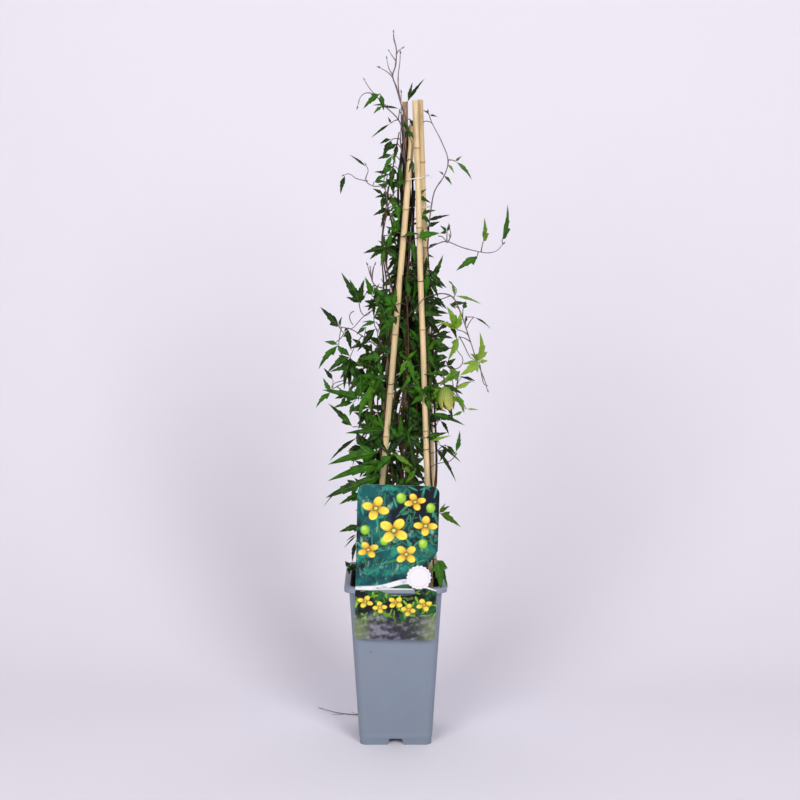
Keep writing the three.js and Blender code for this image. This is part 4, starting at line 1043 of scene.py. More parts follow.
def paintCard(u, v):
    random = randomFrom(12)
    ink = np.tile(tinted("night"), (len(u), 1))
    paintTop(ink, u, v, random)
    base = np.tile(tinted("night") * 0.5, (len(u), 1))
    paintFoot(base, u, v, random)
    # a wavy pale band parts the two, and a seal lies on it
    wave = -24 + 5 * np.sin((u + 20) * 0.052) + 1.6 * np.sin(u * 0.11)
    below = softStep(wave - v, -0.3, 0.5)
    paint(ink, below, base)
    band = below * softStep(v - (wave - 4.5 - 1.5 * np.cos(u * 0.045)), -0.3, 0.5)
    paint(ink, band, picture["white"])
    paint(ink, band * softStep(mottle(u, v * 3, 40, 0.12), 0.5, 0.7) * 0.45, picture["violet"])
    sealU, sealV, sealR = card["seal"]
    away, angle = np.hypot(u - sealU, v - sealV), np.arctan2(v - sealV, u - sealU)
    disc = softStep(sealR - 0.9 + 0.5 * np.cos(18 * angle) - away, -0.25, 0.25)
    paint(ink, disc, rgb(228, 224, 228))
    # a faint grey ring on the seal, painted shade of an embossed edge
    paint(ink, disc * (np.abs(away - 10.6) < 0.35) * 0.35, rgb(150, 146, 160))
    return np.clip(ink, 0, 1)


def cardPlace(u, v):
    lean = math.radians(card["lean"])
    x = card["centre"][0] + u * math.cos(lean) + v * math.sin(lean)
    z = card["centre"][1] - u * math.sin(lean) + v * math.cos(lean)
    y = -(pot["rim"] + 0.3 + card["thickness"]) - 0.5 * (u / 44) ** 2 * np.clip(v / 60, 0, 1)
    return np.column_stack((x, y, z)) * mm


def makeCardFace(printed, plain):
    columns, rows = round(card["width"] / card["cell"]), round(card["height"] / card["cell"])
    bpy.ops.mesh.primitive_grid_add(x_subdivisions=columns, y_subdivisions=rows, size=2)
    face = namePiece("cardFace")
    points = pointsOf(face)
    # the rows nearest to the slot's upper edge and its curved foot are moved on to them
    v = points[:, 1] * card["height"] / 2
    slotTop = slotFoot(np.zeros(1))[0]
    v = np.where(np.abs(v - slotTop) < card["cell"] / 2, slotTop, v)
    left, right = cardEdges(v)
    u = left + (right - left) * (points[:, 0] + 1) / 2
    foot = slotFoot(u)[1]
    snaps = (np.abs(v - foot) < card["cell"] * 0.55) & (foot < slotTop - 0.2)
    v = np.where(snaps, foot, v)
    ink = np.column_stack((paintCard(u, v), np.ones(len(u))))
    setPoints(face, cardPlace(u, v))
    attribute = face.data.attributes.new("print", "FLOAT_COLOR", "POINT")
    attribute.data.foreach_set("color", ink.astype(np.float32).ravel())
    for item in (face.data.vertices, face.data.edges):
        item.foreach_set("select", np.zeros(len(item), bool))
    corners = np.array([polygon.vertices[:] for polygon in face.data.polygons])
    middleU, middleV = u[corners].mean(1), v[corners].mean(1)
    face.data.polygons.foreach_set("select", (middleV < slotTop) & (middleV > slotFoot(middleU)[1]))
    bpy.ops.object.mode_set(mode="EDIT")
    bpy.ops.mesh.select_mode(type="FACE")
    bpy.ops.mesh.delete(type="FACE")
    bpy.ops.mesh.select_mode(type="VERT")
    doneEditing()
    wear(face, printed, plain)
    addModifier(face, "SOLIDIFY", thickness=card["thickness"] * mm, material_offset=1, material_offset_rim=1,
                offset=1 if face.data.polygons[0].normal.y > 0 else -1)
    applyModifiers(face)
    return face


def makeCardTongue(printed, plain):
    # the strip that is cut out of the slot, bent over the rim and down behind it
    inside = -innerHalf(pot["height"] - card["tongueDrop"]) + 0.6
    path = [(-56.6, 182.6), (-56.6, 184.4), (-56.2, 184.85), (-55.6, 185.0)]
    path += [(-55.6 + (inside + 55.2) * i / 6, 185.0) for i in range(1, 6)]
    path += [(inside - 0.4, 184.95), (inside, 184.5)] + [(inside, 184.5 - 2.2 * i) for i in range(1, 7)]
    last = len(path) - 1
    bpy.ops.mesh.primitive_grid_add(x_subdivisions=8, y_subdivisions=last, size=2)
    tongue = namePiece("cardTongue")
    points = pointsOf(tongue)
    station = np.round((points[:, 1] + 1) / 2 * last).astype(int)
    y, z = np.array(path)[station].T
    narrow = 1 - 0.12 * softStep(station / last, 0.75, 1)
    setPoints(tongue, np.column_stack((points[:, 0] * card["tongueHalf"] * narrow, y, z)) * mm)
    wear(tongue, printed, plain)
    tongue.data.polygons.foreach_set("material_index", np.ones(len(tongue.data.polygons), int))
    addModifier(tongue, "SOLIDIFY", thickness=card["thickness"] * 0.9 * mm, offset=0)
    applyModifiers(tongue)
    return tongue


def makeCard():
    printed = newMaterial("cardPrint", Roughness=0.34, Specular_IOR_Level=0.2,
                          Coat_Weight=0.1, Coat_Roughness=0.12)
    place = printed.place()
    screen = printed.span(printed.noise(place, 1600, 2), 0.4, 0.7, 0, 0.12)
    printed.base(printed.mix(screen, printed.attribute("print", "Color"), (0.8, 0.8, 0.8, 1), "MULTIPLY"))
    printed.bump(printed.noise(place, 35, 2), 0.25, 0.0012)
    plain = newMaterial("cardBack", Roughness=0.45)
    fibres = plain.noise(plain.stretched(plain.place(), (500, 500, 90)), 1, 4)
    plain.base(plain.mix(fibres, rgb(214, 216, 210), rgb(190, 194, 190)))
    plain.bump(fibres, 0.1, 0.0001)
    piece = joined([makeCardFace(printed, plain), makeCardTongue(printed, plain)], "cardSheet")
    settle(piece, 40)
    fit(piece, "card")


makeCard()
print("card made")


# clematis: its woody runs, shoots and leaves stand where the CAD plant has them, drawn finer

# leaves by rule: how many are tried, between which shares of the stem, on which side and how far round it,
# how far out, how much upwards, the shortest and the longest leaflet, and the seed

def rule(*values):
    return dict(zip(("tries", "low", "high", "side", "spread", "reach", "rise", "long", "seed"), values))


# each stem: its run, its shoots (radius, points) and the leaves at the outline (joint, tips, width)
stems = {
    "stem_middle": {
        "radius": 2.1,
        "run": [
            (6, 4, 112), (6, 4, 172), (9, 6, 250), (14, 5, 330), (15, 4, 420), (14, 4, 500), (15, 5, 560),
            (16.5, 6, 602),
        ],
        "shoots": [
            (1.2, (16.5, 6, 602), (14, 5, 622), (10.5, 3.5, 640), (9, -1.5, 655), (10, -7, 668),
             (12, -9.5, 681), (6, -10, 701), (1, -9, 719), (-3, -9, 730), (0, -9, 741), (1, -9, 757),
             (-1.5, -9, 768), (-2, -9, 774)),
            (0.7, (-2.5, -9, 728), (-8, -10, 734), (-15, -11, 738)),
            (0.7, (-2.5, -9, 731), (-7, -8, 738), (-9, -7, 747)),
            (0.7, (0.8, -9, 746), (-3, -9, 750), (-6, -8, 755)),
            (0.7, (1, -9, 753), (3, -10, 756), (6, -11, 758)),
            (0.8, (5.5, -10, 703), (3.5, -7, 716), (3, -6, 731), (4.5, -6, 743), (5, -6, 752)),
            (0.8, (10, -7, 668), (3, -4, 685), (-9, -2, 697), (-20, -2, 709), (-27, -2, 717),
             (-32, -2, 725)),
            (0.7, (-22, -2, 711), (-30, -4, 713), (-37, -5, 709), (-40, -4, 700)),
            (0.8, (10, -7, 668), (8, -14, 684), (10, -15, 697), (13, -15, 704)),
            (0.8, (10.5, 3.5, 640), (6, -2, 655), (6, -3, 680), (6, -2, 712)),
        ],
        "leaves": [
            ((-16, -4, 712), [(-36, -8, 697), (-12, -10, 694)], 7), ((-8, 0, 700), [(-25, 2, 700)], 3),
            ((-14, -6, 699), [(-24, -9, 691)], 4), ((-5, -6, 681), [(-26, -9, 665), (-8, -8, 688)], 3),
            ((-4, -8, 664), [(-15, -12, 644), (-17, 2, 660)], 7),
            ((13, -15, 704), [(19, -17, 724), (31, -19, 728)], 4),
        ],
        "rule": rule(120, 0.36, 0.99, 90, 330, 12, 0.25, (19, 29), 11),
    },
    "stem_left": {
        "radius": 1.6,
        "run": [
            (-12, -4, 112), (-12, -4, 172), (-22, 0, 235), (-29, 1, 300), (-26, -1, 370), (-18, -2, 440),
            (-13, -1, 500), (-15, -3, 545), (-12, -4, 580), (-4, -3, 604),
        ],
        "shoots": [
            (0.8, (-8, -4, 592), (-12, -8, 613), (-24, -10, 615), (-32, -10, 621), (-29, -9, 631),
             (-31, -8, 636)),
            (0.7, (-31, -10, 620), (-42, -10, 623), (-49, -10, 628), (-54, -10, 627)),
            (0.8, (-13, -1, 505), (-22, -4, 508), (-26, -6, 515), (-30, -6, 529)),
            (0.7, (-26, -6, 514), (-25, -7, 521), (-23, -6, 529)),
            (0.9, (-18, -2, 440), (-34, -6, 452), (-48, -9, 461), (-62, -10, 464)),
            (0.9, (-25, -1, 380), (-40, -6, 396), (-54, -8, 402), (-69, -12, 396)),
        ],
        "leaves": [
            ((-30, -8, 635), [(-50, -10, 648)], 3), ((-53, -10, 628), [(-59, -12, 606)], 6),
            ((-23, -9, 619), [(-6, -12, 629), (-9, -14, 620)], 5),
            ((-13, -9, 606), [(-14, -12, 586), (-25, -6, 612)], 5),
            ((-38, -14, 490), [(-59, -18, 524), (-49, -22, 517), (-54, -12, 497), (-34, -18, 517)], 8),
            ((-60, -10, 465), [(-82, -12, 486), (-58, -16, 476)], 8),
            ((-62, -8, 444), [(-86, -10, 417), (-78, -2, 447), (-57, -14, 432)], 8),
            ((-49, -16, 432), [(-76, -20, 417), (-55, -24, 396), (-40, -22, 397), (-64, -6, 444)], 9),
            ((-70, -14, 393), [(-89, -16, 376), (-79, -14, 409)], 7),
        ],
        "rule": rule(70, 0.2, 0.9, 180, 190, 22, 0, (24, 36), 23),
    },
    "stem_right": {
        "radius": 1.7,
        "run": [
            (22, 2, 112), (22, 2, 172), (36, 2, 235), (45, 1, 300), (43, 1, 370), (40, 1, 440),
            (38, 0, 500), (35, -2, 545), (36, -4, 572),
        ],
        "shoots": [
            (0.8, (35, -2, 548), (48, -12, 555), (56, -14, 556), (71, -14, 550), (86, -14, 546),
             (98, -14, 544), (108, -14, 546), (115, -14, 553)),
            (0.7, (56, -14, 556), (59, -16, 562), (58, -17, 571)),
            (0.8, (36, -4, 571), (38, -5, 590), (42, -7, 610), (52, -8, 626), (56, -8, 643), (48, -7, 664),
             (39, -6, 681), (35, -7, 692)),
            (0.9, (38, 0, 496), (50, -10, 500), (62, -12, 496), (70, -16, 480), (80, -20, 452),
             (88, -24, 428), (96, -24, 408), (99, -24, 398)),
            (0.9, (43, 1, 372), (52, -12, 386), (60, -22, 396), (66, -26, 400)),
            (0.7, (63, -11, 495), (66, -8, 504), (61, -8, 510)),
        ],
        "leaves": [
            ((114, -14, 558), [(121, -16, 596), (120, -18, 566)], 8),
            ((94, -14, 556), [(94, -16, 582), (99, -18, 562)], 8),
            ((88, -14, 541), [(64, -16, 526), (82, -18, 534)], 8),
            ((64, -10, 641), [(83, -12, 622), (70, -14, 647)], 6), ((58, -9, 638), [(63, -12, 628)], 4),
            ((52, -8, 626), [(61, -10, 616), (46, -10, 631)], 4),
            ((37, -7, 690), [(45, -8, 688), (29, -16, 694)], 4),
            ((64, -12, 498), [(94, -14, 490), (60, -14, 514)], 4), ((66, -6, 324), [(71, -10, 350)], 6),
        ],
        "rule": rule(70, 0.2, 0.9, 0, 190, 22, 0, (24, 36), 37),
    },
    "stem_front": {
        "radius": 1.4,
        "run": [
            (6, -18, 112), (6, -18, 172), (8, -17, 240), (6, -13, 310), (8, -11, 380), (12, -9, 450),
            (13, -6, 510), (15.5, -4, 560),
        ],
        "shoots": [],
        "leaves": [
            ((-2, -30, 488), [(-24, -32, 508), (-14, -38, 480), (2, -36, 508)], 10),
            ((13, -20, 430), [(4, -26, 410), (20, -26, 406), (23, -22, 440)], 9),
            ((13, -25, 350), [(-2, -31, 332), (18, -34, 322), (25, -27, 364)], 9),
        ],
        "rule": rule(260, 0.24, 0.97, 270, 200, 12, 0.1, (17, 27), 41),
    },
    "stem_back": {
        "radius": 1.5,
        "run": [
            (4, 22, 112), (4, 22, 172), (8, 38, 240), (8, 42, 310), (8, 36, 380), (12, 30, 450),
            (16, 24, 510), (19, 19, 570),
        ],
        "shoots": [],
        "leaves": [],
        "rule": rule(90, 0.22, 0.97, 90, 210, 16, 0.05, (24, 36), 59),
    },
}
blade = {
    "leafletRoom": math.radians(46), "lobeRoom": math.radians(86), "stalkRoom": math.radians(60),
    "arch": 0.06, "stoutest": 0.15, "seated": 3, "plainWidth": 5, "stalkBow": 0.12,
    "offCane": 6.5,
}
evenly = {"along": 0.7549, "around": 0.5698}
stalkRadii = np.array([0.8, 0.62, 0.55, 0.5, 0.48, 0.48, 0.6])

# the edge of one side of a leaflet, base to tip: share of the length, and of the half width
leafletSides = {
    "plain": [(0, 0), (0.07, 0.1), (0.14, 0.3), (0.24, 0.7), (0.36, 0.98), (0.46, 1.02), (0.47, 0.76),
              (0.62, 0.8), (0.63, 0.54), (0.79, 0.42), (0.91, 0.16), (1, 0)],
    "lobed": [(0, 0), (0.06, 0.12), (0.11, 0.38), (0.18, 1.02), (0.33, 1.62), (0.32, 0.84), (0.42, 0.8),
              (0.56, 0.86), (0.565, 0.58), (0.74, 0.44), (0.9, 0.17), (1, 0)],
}

finish = {
    "leafDark": rgb(8, 32, 3), "leafGreen": rgb(50, 106, 14), "leafYoung": rgb(136, 168, 52),
    "under": rgb(92, 128, 58), "vein": rgb(140, 176, 72), "edge": rgb(28, 40, 10),
    "bark": rgb(98, 72, 40), "barkDark": rgb(34, 22, 13), "barkShadow": rgb(12, 9, 6),
    "shoot": rgb(132, 118, 116), "shootDark": rgb(88, 68, 72),
    "petiole": rgb(104, 100, 74), "petioleDark": rgb(78, 60, 62),
}


def ways(points):
    return points / np.linalg.norm(points)


def woodLines(stem):
    lines = [evenPoints(stem["run"], 24)]
    for _, start, *rest in stem["shoots"]:
        lines.append(evenPoints([nearestOn(lines, np.array(start, float))] + rest, 11))
    return lines


def seenLeaves(stem, lines):
    # the leaves at the outline, where the CAD plant has them too
    leaves = []
    for place, tips, wide in stem["leaves"]:
        place = np.array(place, float)
        root = nearestOn(lines, place)
        joint = root if np.linalg.norm(root - place) < blade["seated"] else place
        tips = [np.array(tip, float) for tip in tips]
        leaves.append({"root": root, "joint": joint, "tips": tips, "wide": wide,
                       "face": np.array([joint[0] / 150, -0.8, 0.5])})
    return leaves


def hanging(out, lift, hang):
    # how a leaf on the side called out faces, which way its middle leaflet points, and across that
    face = ways(np.array([out[0], out[1] + 0.8 * math.copysign(1, out[1]), 0.25 + 0.5 * lift]))
    level = ways(np.array([-face[1], face[0], 0]))
    level = level if level @ out >= 0 else -level
    steep = math.radians(25 - 105 * hang)
    upward = np.cross(face, level)
    upward = upward if upward[2] >= 0 else -upward
    way = upward * math.sin(steep) + level * math.cos(steep)
    return face, way, np.cross(face, way)


def ruledLeaves(run, line, rule):
    # leaves by rule, evenly along the stem and round its side, each with a random draw of its own
    random = randomFrom(rule["seed"])
    run = [np.array(point, float) for point in run]
    leaves = []
    for i in range(rule["tries"]):
        along = (evenly["along"] * i + 0.1 * random()) % 1
        around = (evenly["around"] * i + 0.1 * random()) % 1
        place = curveAt(run, rule["low"] + (rule["high"] - rule["low"]) * along)
        heading = math.radians(rule["side"] + rule["spread"] * (around - 0.5))
        root = nearestOn([line], place)
        far, climb, count, size, lift, hang = [random() for _ in range(6)]
        out = ways(np.array([math.cos(heading), math.sin(heading), rule["rise"] + 0.7 * (climb - 0.45)]))
        joint = root + out * rule["reach"] * (0.45 + 0.75 * far)
        face, way, across = hanging(out, lift, hang)
        longest = rule["long"][0] + (rule["long"][1] - rule["long"][0]) * size
        tips = []
        for fan in [0, 62, -62, 120, -120][:3 + math.floor(1.8 * count)]:
            turn = math.radians(fan + 14 * (random() - 0.5))
            length = longest * (1 if fan == 0 else 0.78)
            tip = joint + way * length * math.cos(turn) + across * length * math.sin(turn)
            tip[2] -= length * (0.05 + 0.25 * random())
            tips.append(tip)
        leaves.append({"root": root, "joint": joint, "tips": tips, "wide": 0.25 * longest, "face": face})
    return leaves


def hidesCane(leaf):
    # whether the leaf would hang in front of a cane where the cane is in sight
    for tip in leaf["tips"]:
        for share in (0, 0.25, 0.5, 0.75, 1):
            place = leaf["joint"] + (tip - leaf["joint"]) * share
            isShownBack = not 330 < place[2] < 540
            for held in ["cane_front_left", "cane_front_right"] + ["cane_back_right"] * isShownBack:
                x, y = lineAt(caneLines[held], place[2])
                if place[1] < y and abs(place[0] - x) < blade["offCane"]:
                    return True
    return False


def layOut(leaf):
    # the leaf's stalk and leaflets as arms round its joint, in the plane that its face looks out of
    joint = leaf["joint"]
    along = ways(sum(tip - joint for tip in leaf["tips"]))
    across = ways(np.cross(leaf["face"], along))
    basis = np.array([along, across, np.cross(along, across)])

    def armTo(place):
        ahead, aside, height = basis @ (place - joint)
        return {"angle": math.atan2(aside, ahead), "length": math.hypot(ahead, aside), "height": height}

    fullTurn = 2 * math.pi
    stalk = armTo(leaf["root"])
    if stalk["length"] < 1e-6:
        stalk["angle"] = math.pi
    leaflets = [armTo(tip) for tip in leaf["tips"]]
    for arm in leaflets:
        arm["turn"] = (arm["angle"] - stalk["angle"]) % fullTurn
    leaflets.sort(key=lambda arm: arm["turn"])
    limit = fullTurn
    for arm in reversed(leaflets):
        arm["turn"] = limit = min(arm["turn"], limit - blade["leafletRoom"])
    limit = 0
    for arm in leaflets:
        arm["turn"] = limit = max(arm["turn"], limit + blade["leafletRoom"])
        arm["angle"] = stalk["angle"] + arm["turn"]
    isSeated = np.linalg.norm(leaf["root"] - joint) < blade["seated"]
    stalk["isFlat"] = not isSeated and abs(stalk["height"]) < stalk["length"]
    # a leaflet is lobed on a side where it has room, up to the next one or to the stalk
    turns = [arm["turn"] for arm in leaflets]
    first, last = (0, fullTurn) if stalk["isFlat"] else (turns[-1] - fullTurn, turns[0] + fullTurn)
    around = [first] + turns + [last]
    for i, arm in enumerate(leaflets):
        rooms = [blade["stalkRoom" if stalk["isFlat"] and isEnd else "lobeRoom"]
                 for isEnd in (i == 0, i + 1 == len(turns))]
        gaps = (around[i + 1] - around[i], around[i + 2] - around[i + 1])
        isWide = leaf["wide"] > blade["plainWidth"]
        arm["lobes"] = tuple(isWide and gap > room for gap, room in zip(gaps, rooms))
        arm["half"] = min(leaf["wide"] / 2, blade["stoutest"] * arm["length"])
    leaf.update(leaflets=leaflets, stalk=stalk, basis=basis, isSeated=isSeated)
    return leaf


def armPoint(leaf, arm, t):
    lift = t * arm["height"] + blade["arch"] * arm["length"] * 4 * t * (1 - t)
    reach, angle = t * arm["length"], arm["angle"]
    return leaf["joint"] + np.array([reach * math.cos(angle), reach * math.sin(angle), lift]) @ leaf["basis"]


def cadTree(name):
    node = bpy.data.objects[name]
    points = [node.matrix_world @ vertex.co / mm for vertex in node.data.vertices]
    return BVHTree.FromPolygons(points, [polygon.vertices[:] for polygon in node.data.polygons])


def standsInCad(leaf, tree):
    tips = [Vector(armPoint(leaf, arm, 1)) for arm in leaf["leaflets"]]
    return all(tree.find_nearest(tip)[3] < 0.25 for tip in tips)


def makeLeafletTemplate(leftSide, rightSide):
    # a closed thin leaflet, 1 long and 1 in half width: its two edges, and its midrib above and below
    stations = len(leafletSides["plain"]) - 1
    bpy.ops.mesh.primitive_uv_sphere_add(segments=4, ring_count=stations, radius=1)
    template = namePiece("leafletTemplate")
    points = pointsOf(template)
    shape = np.zeros_like(points)
    aside, under = np.zeros(len(points)), np.zeros(len(points))
    for i, (x, y, z) in enumerate(points):
        station = round(math.acos(max(-1, min(1, z))) / math.pi * stations)
        left, right = leafletSides[leftSide][station], leafletSides[rightSide][station]
        middle = (left[0] + right[0]) / 2
        if math.hypot(x, y) < 1e-4:
            shape[i] = (middle, 0, 0)
        elif abs(y) > abs(x):
            t, width = left if y > 0 else right
            shape[i] = (t, math.copysign(width, y), 0)
            aside[i] = math.copysign(1, y)
        else:
            shape[i] = (middle, 0, math.copysign(1, x))
            under[i] = x < 0
    setPoints(template, shape)
    setTone(template, "along", shape[:, 0])
    setTone(template, "aside", aside)
    setTone(template, "under", under)
    selectOnly(template)
    bpy.ops.object.shade_smooth_by_angle(angle=math.radians(60))
    return template, shape


leafletTemplates = {}
for leftSide in ("plain", "lobed"):
    for rightSide in ("plain", "lobed"):
        leafletTemplates[leftSide, rightSide] = makeLeafletTemplate(leftSide, rightSide)


def bendLeaflet(shape, arm, random, most):
    # the unit leaflet at its size: folded along the midrib, arched, curled at the tip and a little twisted
    length, half = arm["length"], arm["half"]
    t, y = shape[:, 0], shape[:, 1] * half
    fold, curl = 0.12 + 0.4 * random(), 0.10 * random()
    sweep, twist = 0.12 * (random() - 0.5), most * (random() - 0.5)
    wave, phase = 0.10 * half * random(), 6.3 * random()
    lift = np.abs(y) * fold + wave * np.sin(14 * t + phase) * np.abs(shape[:, 1])
    lift += np.where(shape[:, 2] > 0, 0.12, 0) - np.where(shape[:, 2] < 0, 0.2, 0)
    turn = twist * t
    y, lift = y * np.cos(turn) - lift * np.sin(turn), y * np.sin(turn) + lift * np.cos(turn)
    y = y + sweep * length * t * t
    lift = lift + t * arm["height"] + blade["arch"] * length * 4 * t * (1 - t) - curl * length * t ** 3
    x = t * length * (1 - 0.3 * curl * t)
    cosine, sine = math.cos(arm["angle"]), math.sin(arm["angle"])
    return np.column_stack((x * cosine - y * sine, x * sine + y * cosine, lift))


def growLeaflet(leaf, sides, arm, basis, random, most, tone, spread):
    template, shape = leafletTemplates[sides]
    piece = makeCopy(template, leaf["joint"] + bendLeaflet(shape, arm, random, most) @ basis)
    setTone(piece, "tone", min(1, max(0, tone + spread * (random() - 0.5))))
    return piece


def stalkBetween(root, joint, lift):
    # a stalk that rises a little between its root and its joint
    bow = (root + joint) / 2
    bow[2] += lift * np.linalg.norm(root - joint)
    line = [t * t * root + 2 * t * (1 - t) * bow + (1 - t) ** 2 * joint for t in np.linspace(1, 0, 7)]
    return np.array(line), stalkRadii


def drawLeaf(leaf, random, tone, leaflets, stalks):
    for arm in leaf["leaflets"]:
        sides = tuple("lobed" if lobe else "plain" for lobe in reversed(arm["lobes"]))
        leaflets.append(growLeaflet(leaf, sides, arm, leaf["basis"], random, 0.9, tone, 0.3))
    if leaf["stalk"]["isFlat"]:
        line = np.array([armPoint(leaf, leaf["stalk"], t) for t in np.linspace(1, 0, 7)])
        stalks.append((line, stalkRadii))
    elif not leaf["isSeated"]:
        stalks.append(stalkBetween(leaf["root"], leaf["joint"], 2 * blade["stalkBow"]))


def wobble(points, size, seed):
    # a natural unevenness, none at either end
    places = [Vector(tuple(point * 0.03)) + Vector((seed, 0, 0)) for point in points]
    moved = np.array([noise.noise_vector(place) for place in places])
    return points + moved * size * np.sin(np.linspace(0, math.pi, len(points)))[:, None]


def woodRadii(count, low, high, bumpEvery):
    # tapering, with a swelling at each leaf joint
    share = np.linspace(0, 1, count)
    swelling = np.maximum(0, np.cos(np.arange(count) * 2 * math.pi / bumpEvery)) ** 6
    return (low + (high - low) * share) * (1 + 0.3 * swelling)


# thin old shoots that wind up inside the canes, and the petioles that hold on to the canes
innerShoots = [
    [(-6, -8, 165), (-14, -10, 230), (-4, -16, 290), (-10, -8, 350), (-2, -14, 410), (4, -10, 470),
     (8, -12, 520)],
    [(14, -10, 165), (24, -14, 225), (18, -6, 280), (26, -12, 340), (22, -4, 400), (28, -10, 460),
     (24, -6, 520)],
    [(0, 12, 165), (-8, 16, 220), (4, 20, 280), (-4, 12, 340), (6, 14, 400), (2, 8, 460), (10, 12, 530),
     (14, 8, 590)],
    [(18, 14, 165), (28, 18, 230), (20, 22, 290), (30, 14, 350), (24, 16, 410), (30, 12, 480),
     (26, 10, 560)],
    [(-16, 4, 165), (-24, 8, 240), (-12, 10, 320), (-20, 2, 380), (-10, 6, 430), (-14, 0, 480)],
    [(8, -20, 165), (2, -26, 230), (12, -24, 300), (4, -22, 360), (14, -20, 430), (12, -14, 500),
     (18, -12, 585)],
    [(2, 2, 380), (-8, 0, 440), (-2, -2, 490), (-9, -4, 530), (-4, -2, 570), (-9, 0, 600), (-2, 2, 640),
     (4, 4, 672)],
    [(6, 8, 400), (14, 10, 450), (8, 6, 500), (15, 4, 540), (10, 2, 580), (15, 4, 620), (9, 6, 655),
     (7, 4, 690)],
    [(-12, 4, 420), (-16, 2, 470), (-10, -2, 510), (-15, -5, 548), (-12, -4, 580), (-8, -2, 606)],
    [(18, 6, 430), (12, 8, 480), (20, 4, 530), (15, 6, 575), (19, 2, 612), (14, 3, 648)],
    [(10, 2, 470), (5, 4, 510), (12, 0, 550), (6, 2, 590), (12, 2, 630), (8, 0, 668)],
    [(26, 2, 430), (30, -2, 480), (25, 0, 520), (29, -4, 560), (24, -2, 600)],
]
caneHolds = {
    "cane_front_left": [560, 401], "cane_back_left": [345, 500], "cane_front_right": [513, 330],
    "cane_back_right": [398, 528], "stake_middle": [300, 440, 640],
}

# more leaves between the canes, so that the heart of the plant is as full as in the photograph
innerLeaves = {
    "stem_middle": rule(34, 0.3, 0.97, 250, 200, 9, 0.1, (18, 29), 101),
    "stem_left": rule(16, 0.25, 0.92, 0, 200, 8, 0.0, (20, 30), 102),
    "stem_right": rule(16, 0.25, 0.9, 180, 200, 8, 0.0, (20, 30), 103),
    "stem_front": rule(26, 0.3, 0.97, 270, 300, 10, 0.1, (19, 30), 104),
    "stem_back": rule(26, 0.3, 0.97, 270, 340, 9, 0.1, (20, 32), 105),
}


# the rest of the crown: its left and right edge at each height, seen from the front
crown = {
    "outline": [(215, -36, 40), (268, -46, 42), (300, -56, 44), (338, -50, 48), (354, -38, 52),
                (386, -50, 56), (429, -46, 54), (445, -26, 50), (472, -18, 46), (504, -8, 42),
                (547, -6, 34), (600, -4, 30), (627, 0, 28)],
    "depth": 1.15, "leaves": 130, "long": (27, 42), "inset": 13, "allow": 11, "seed": 77,
}

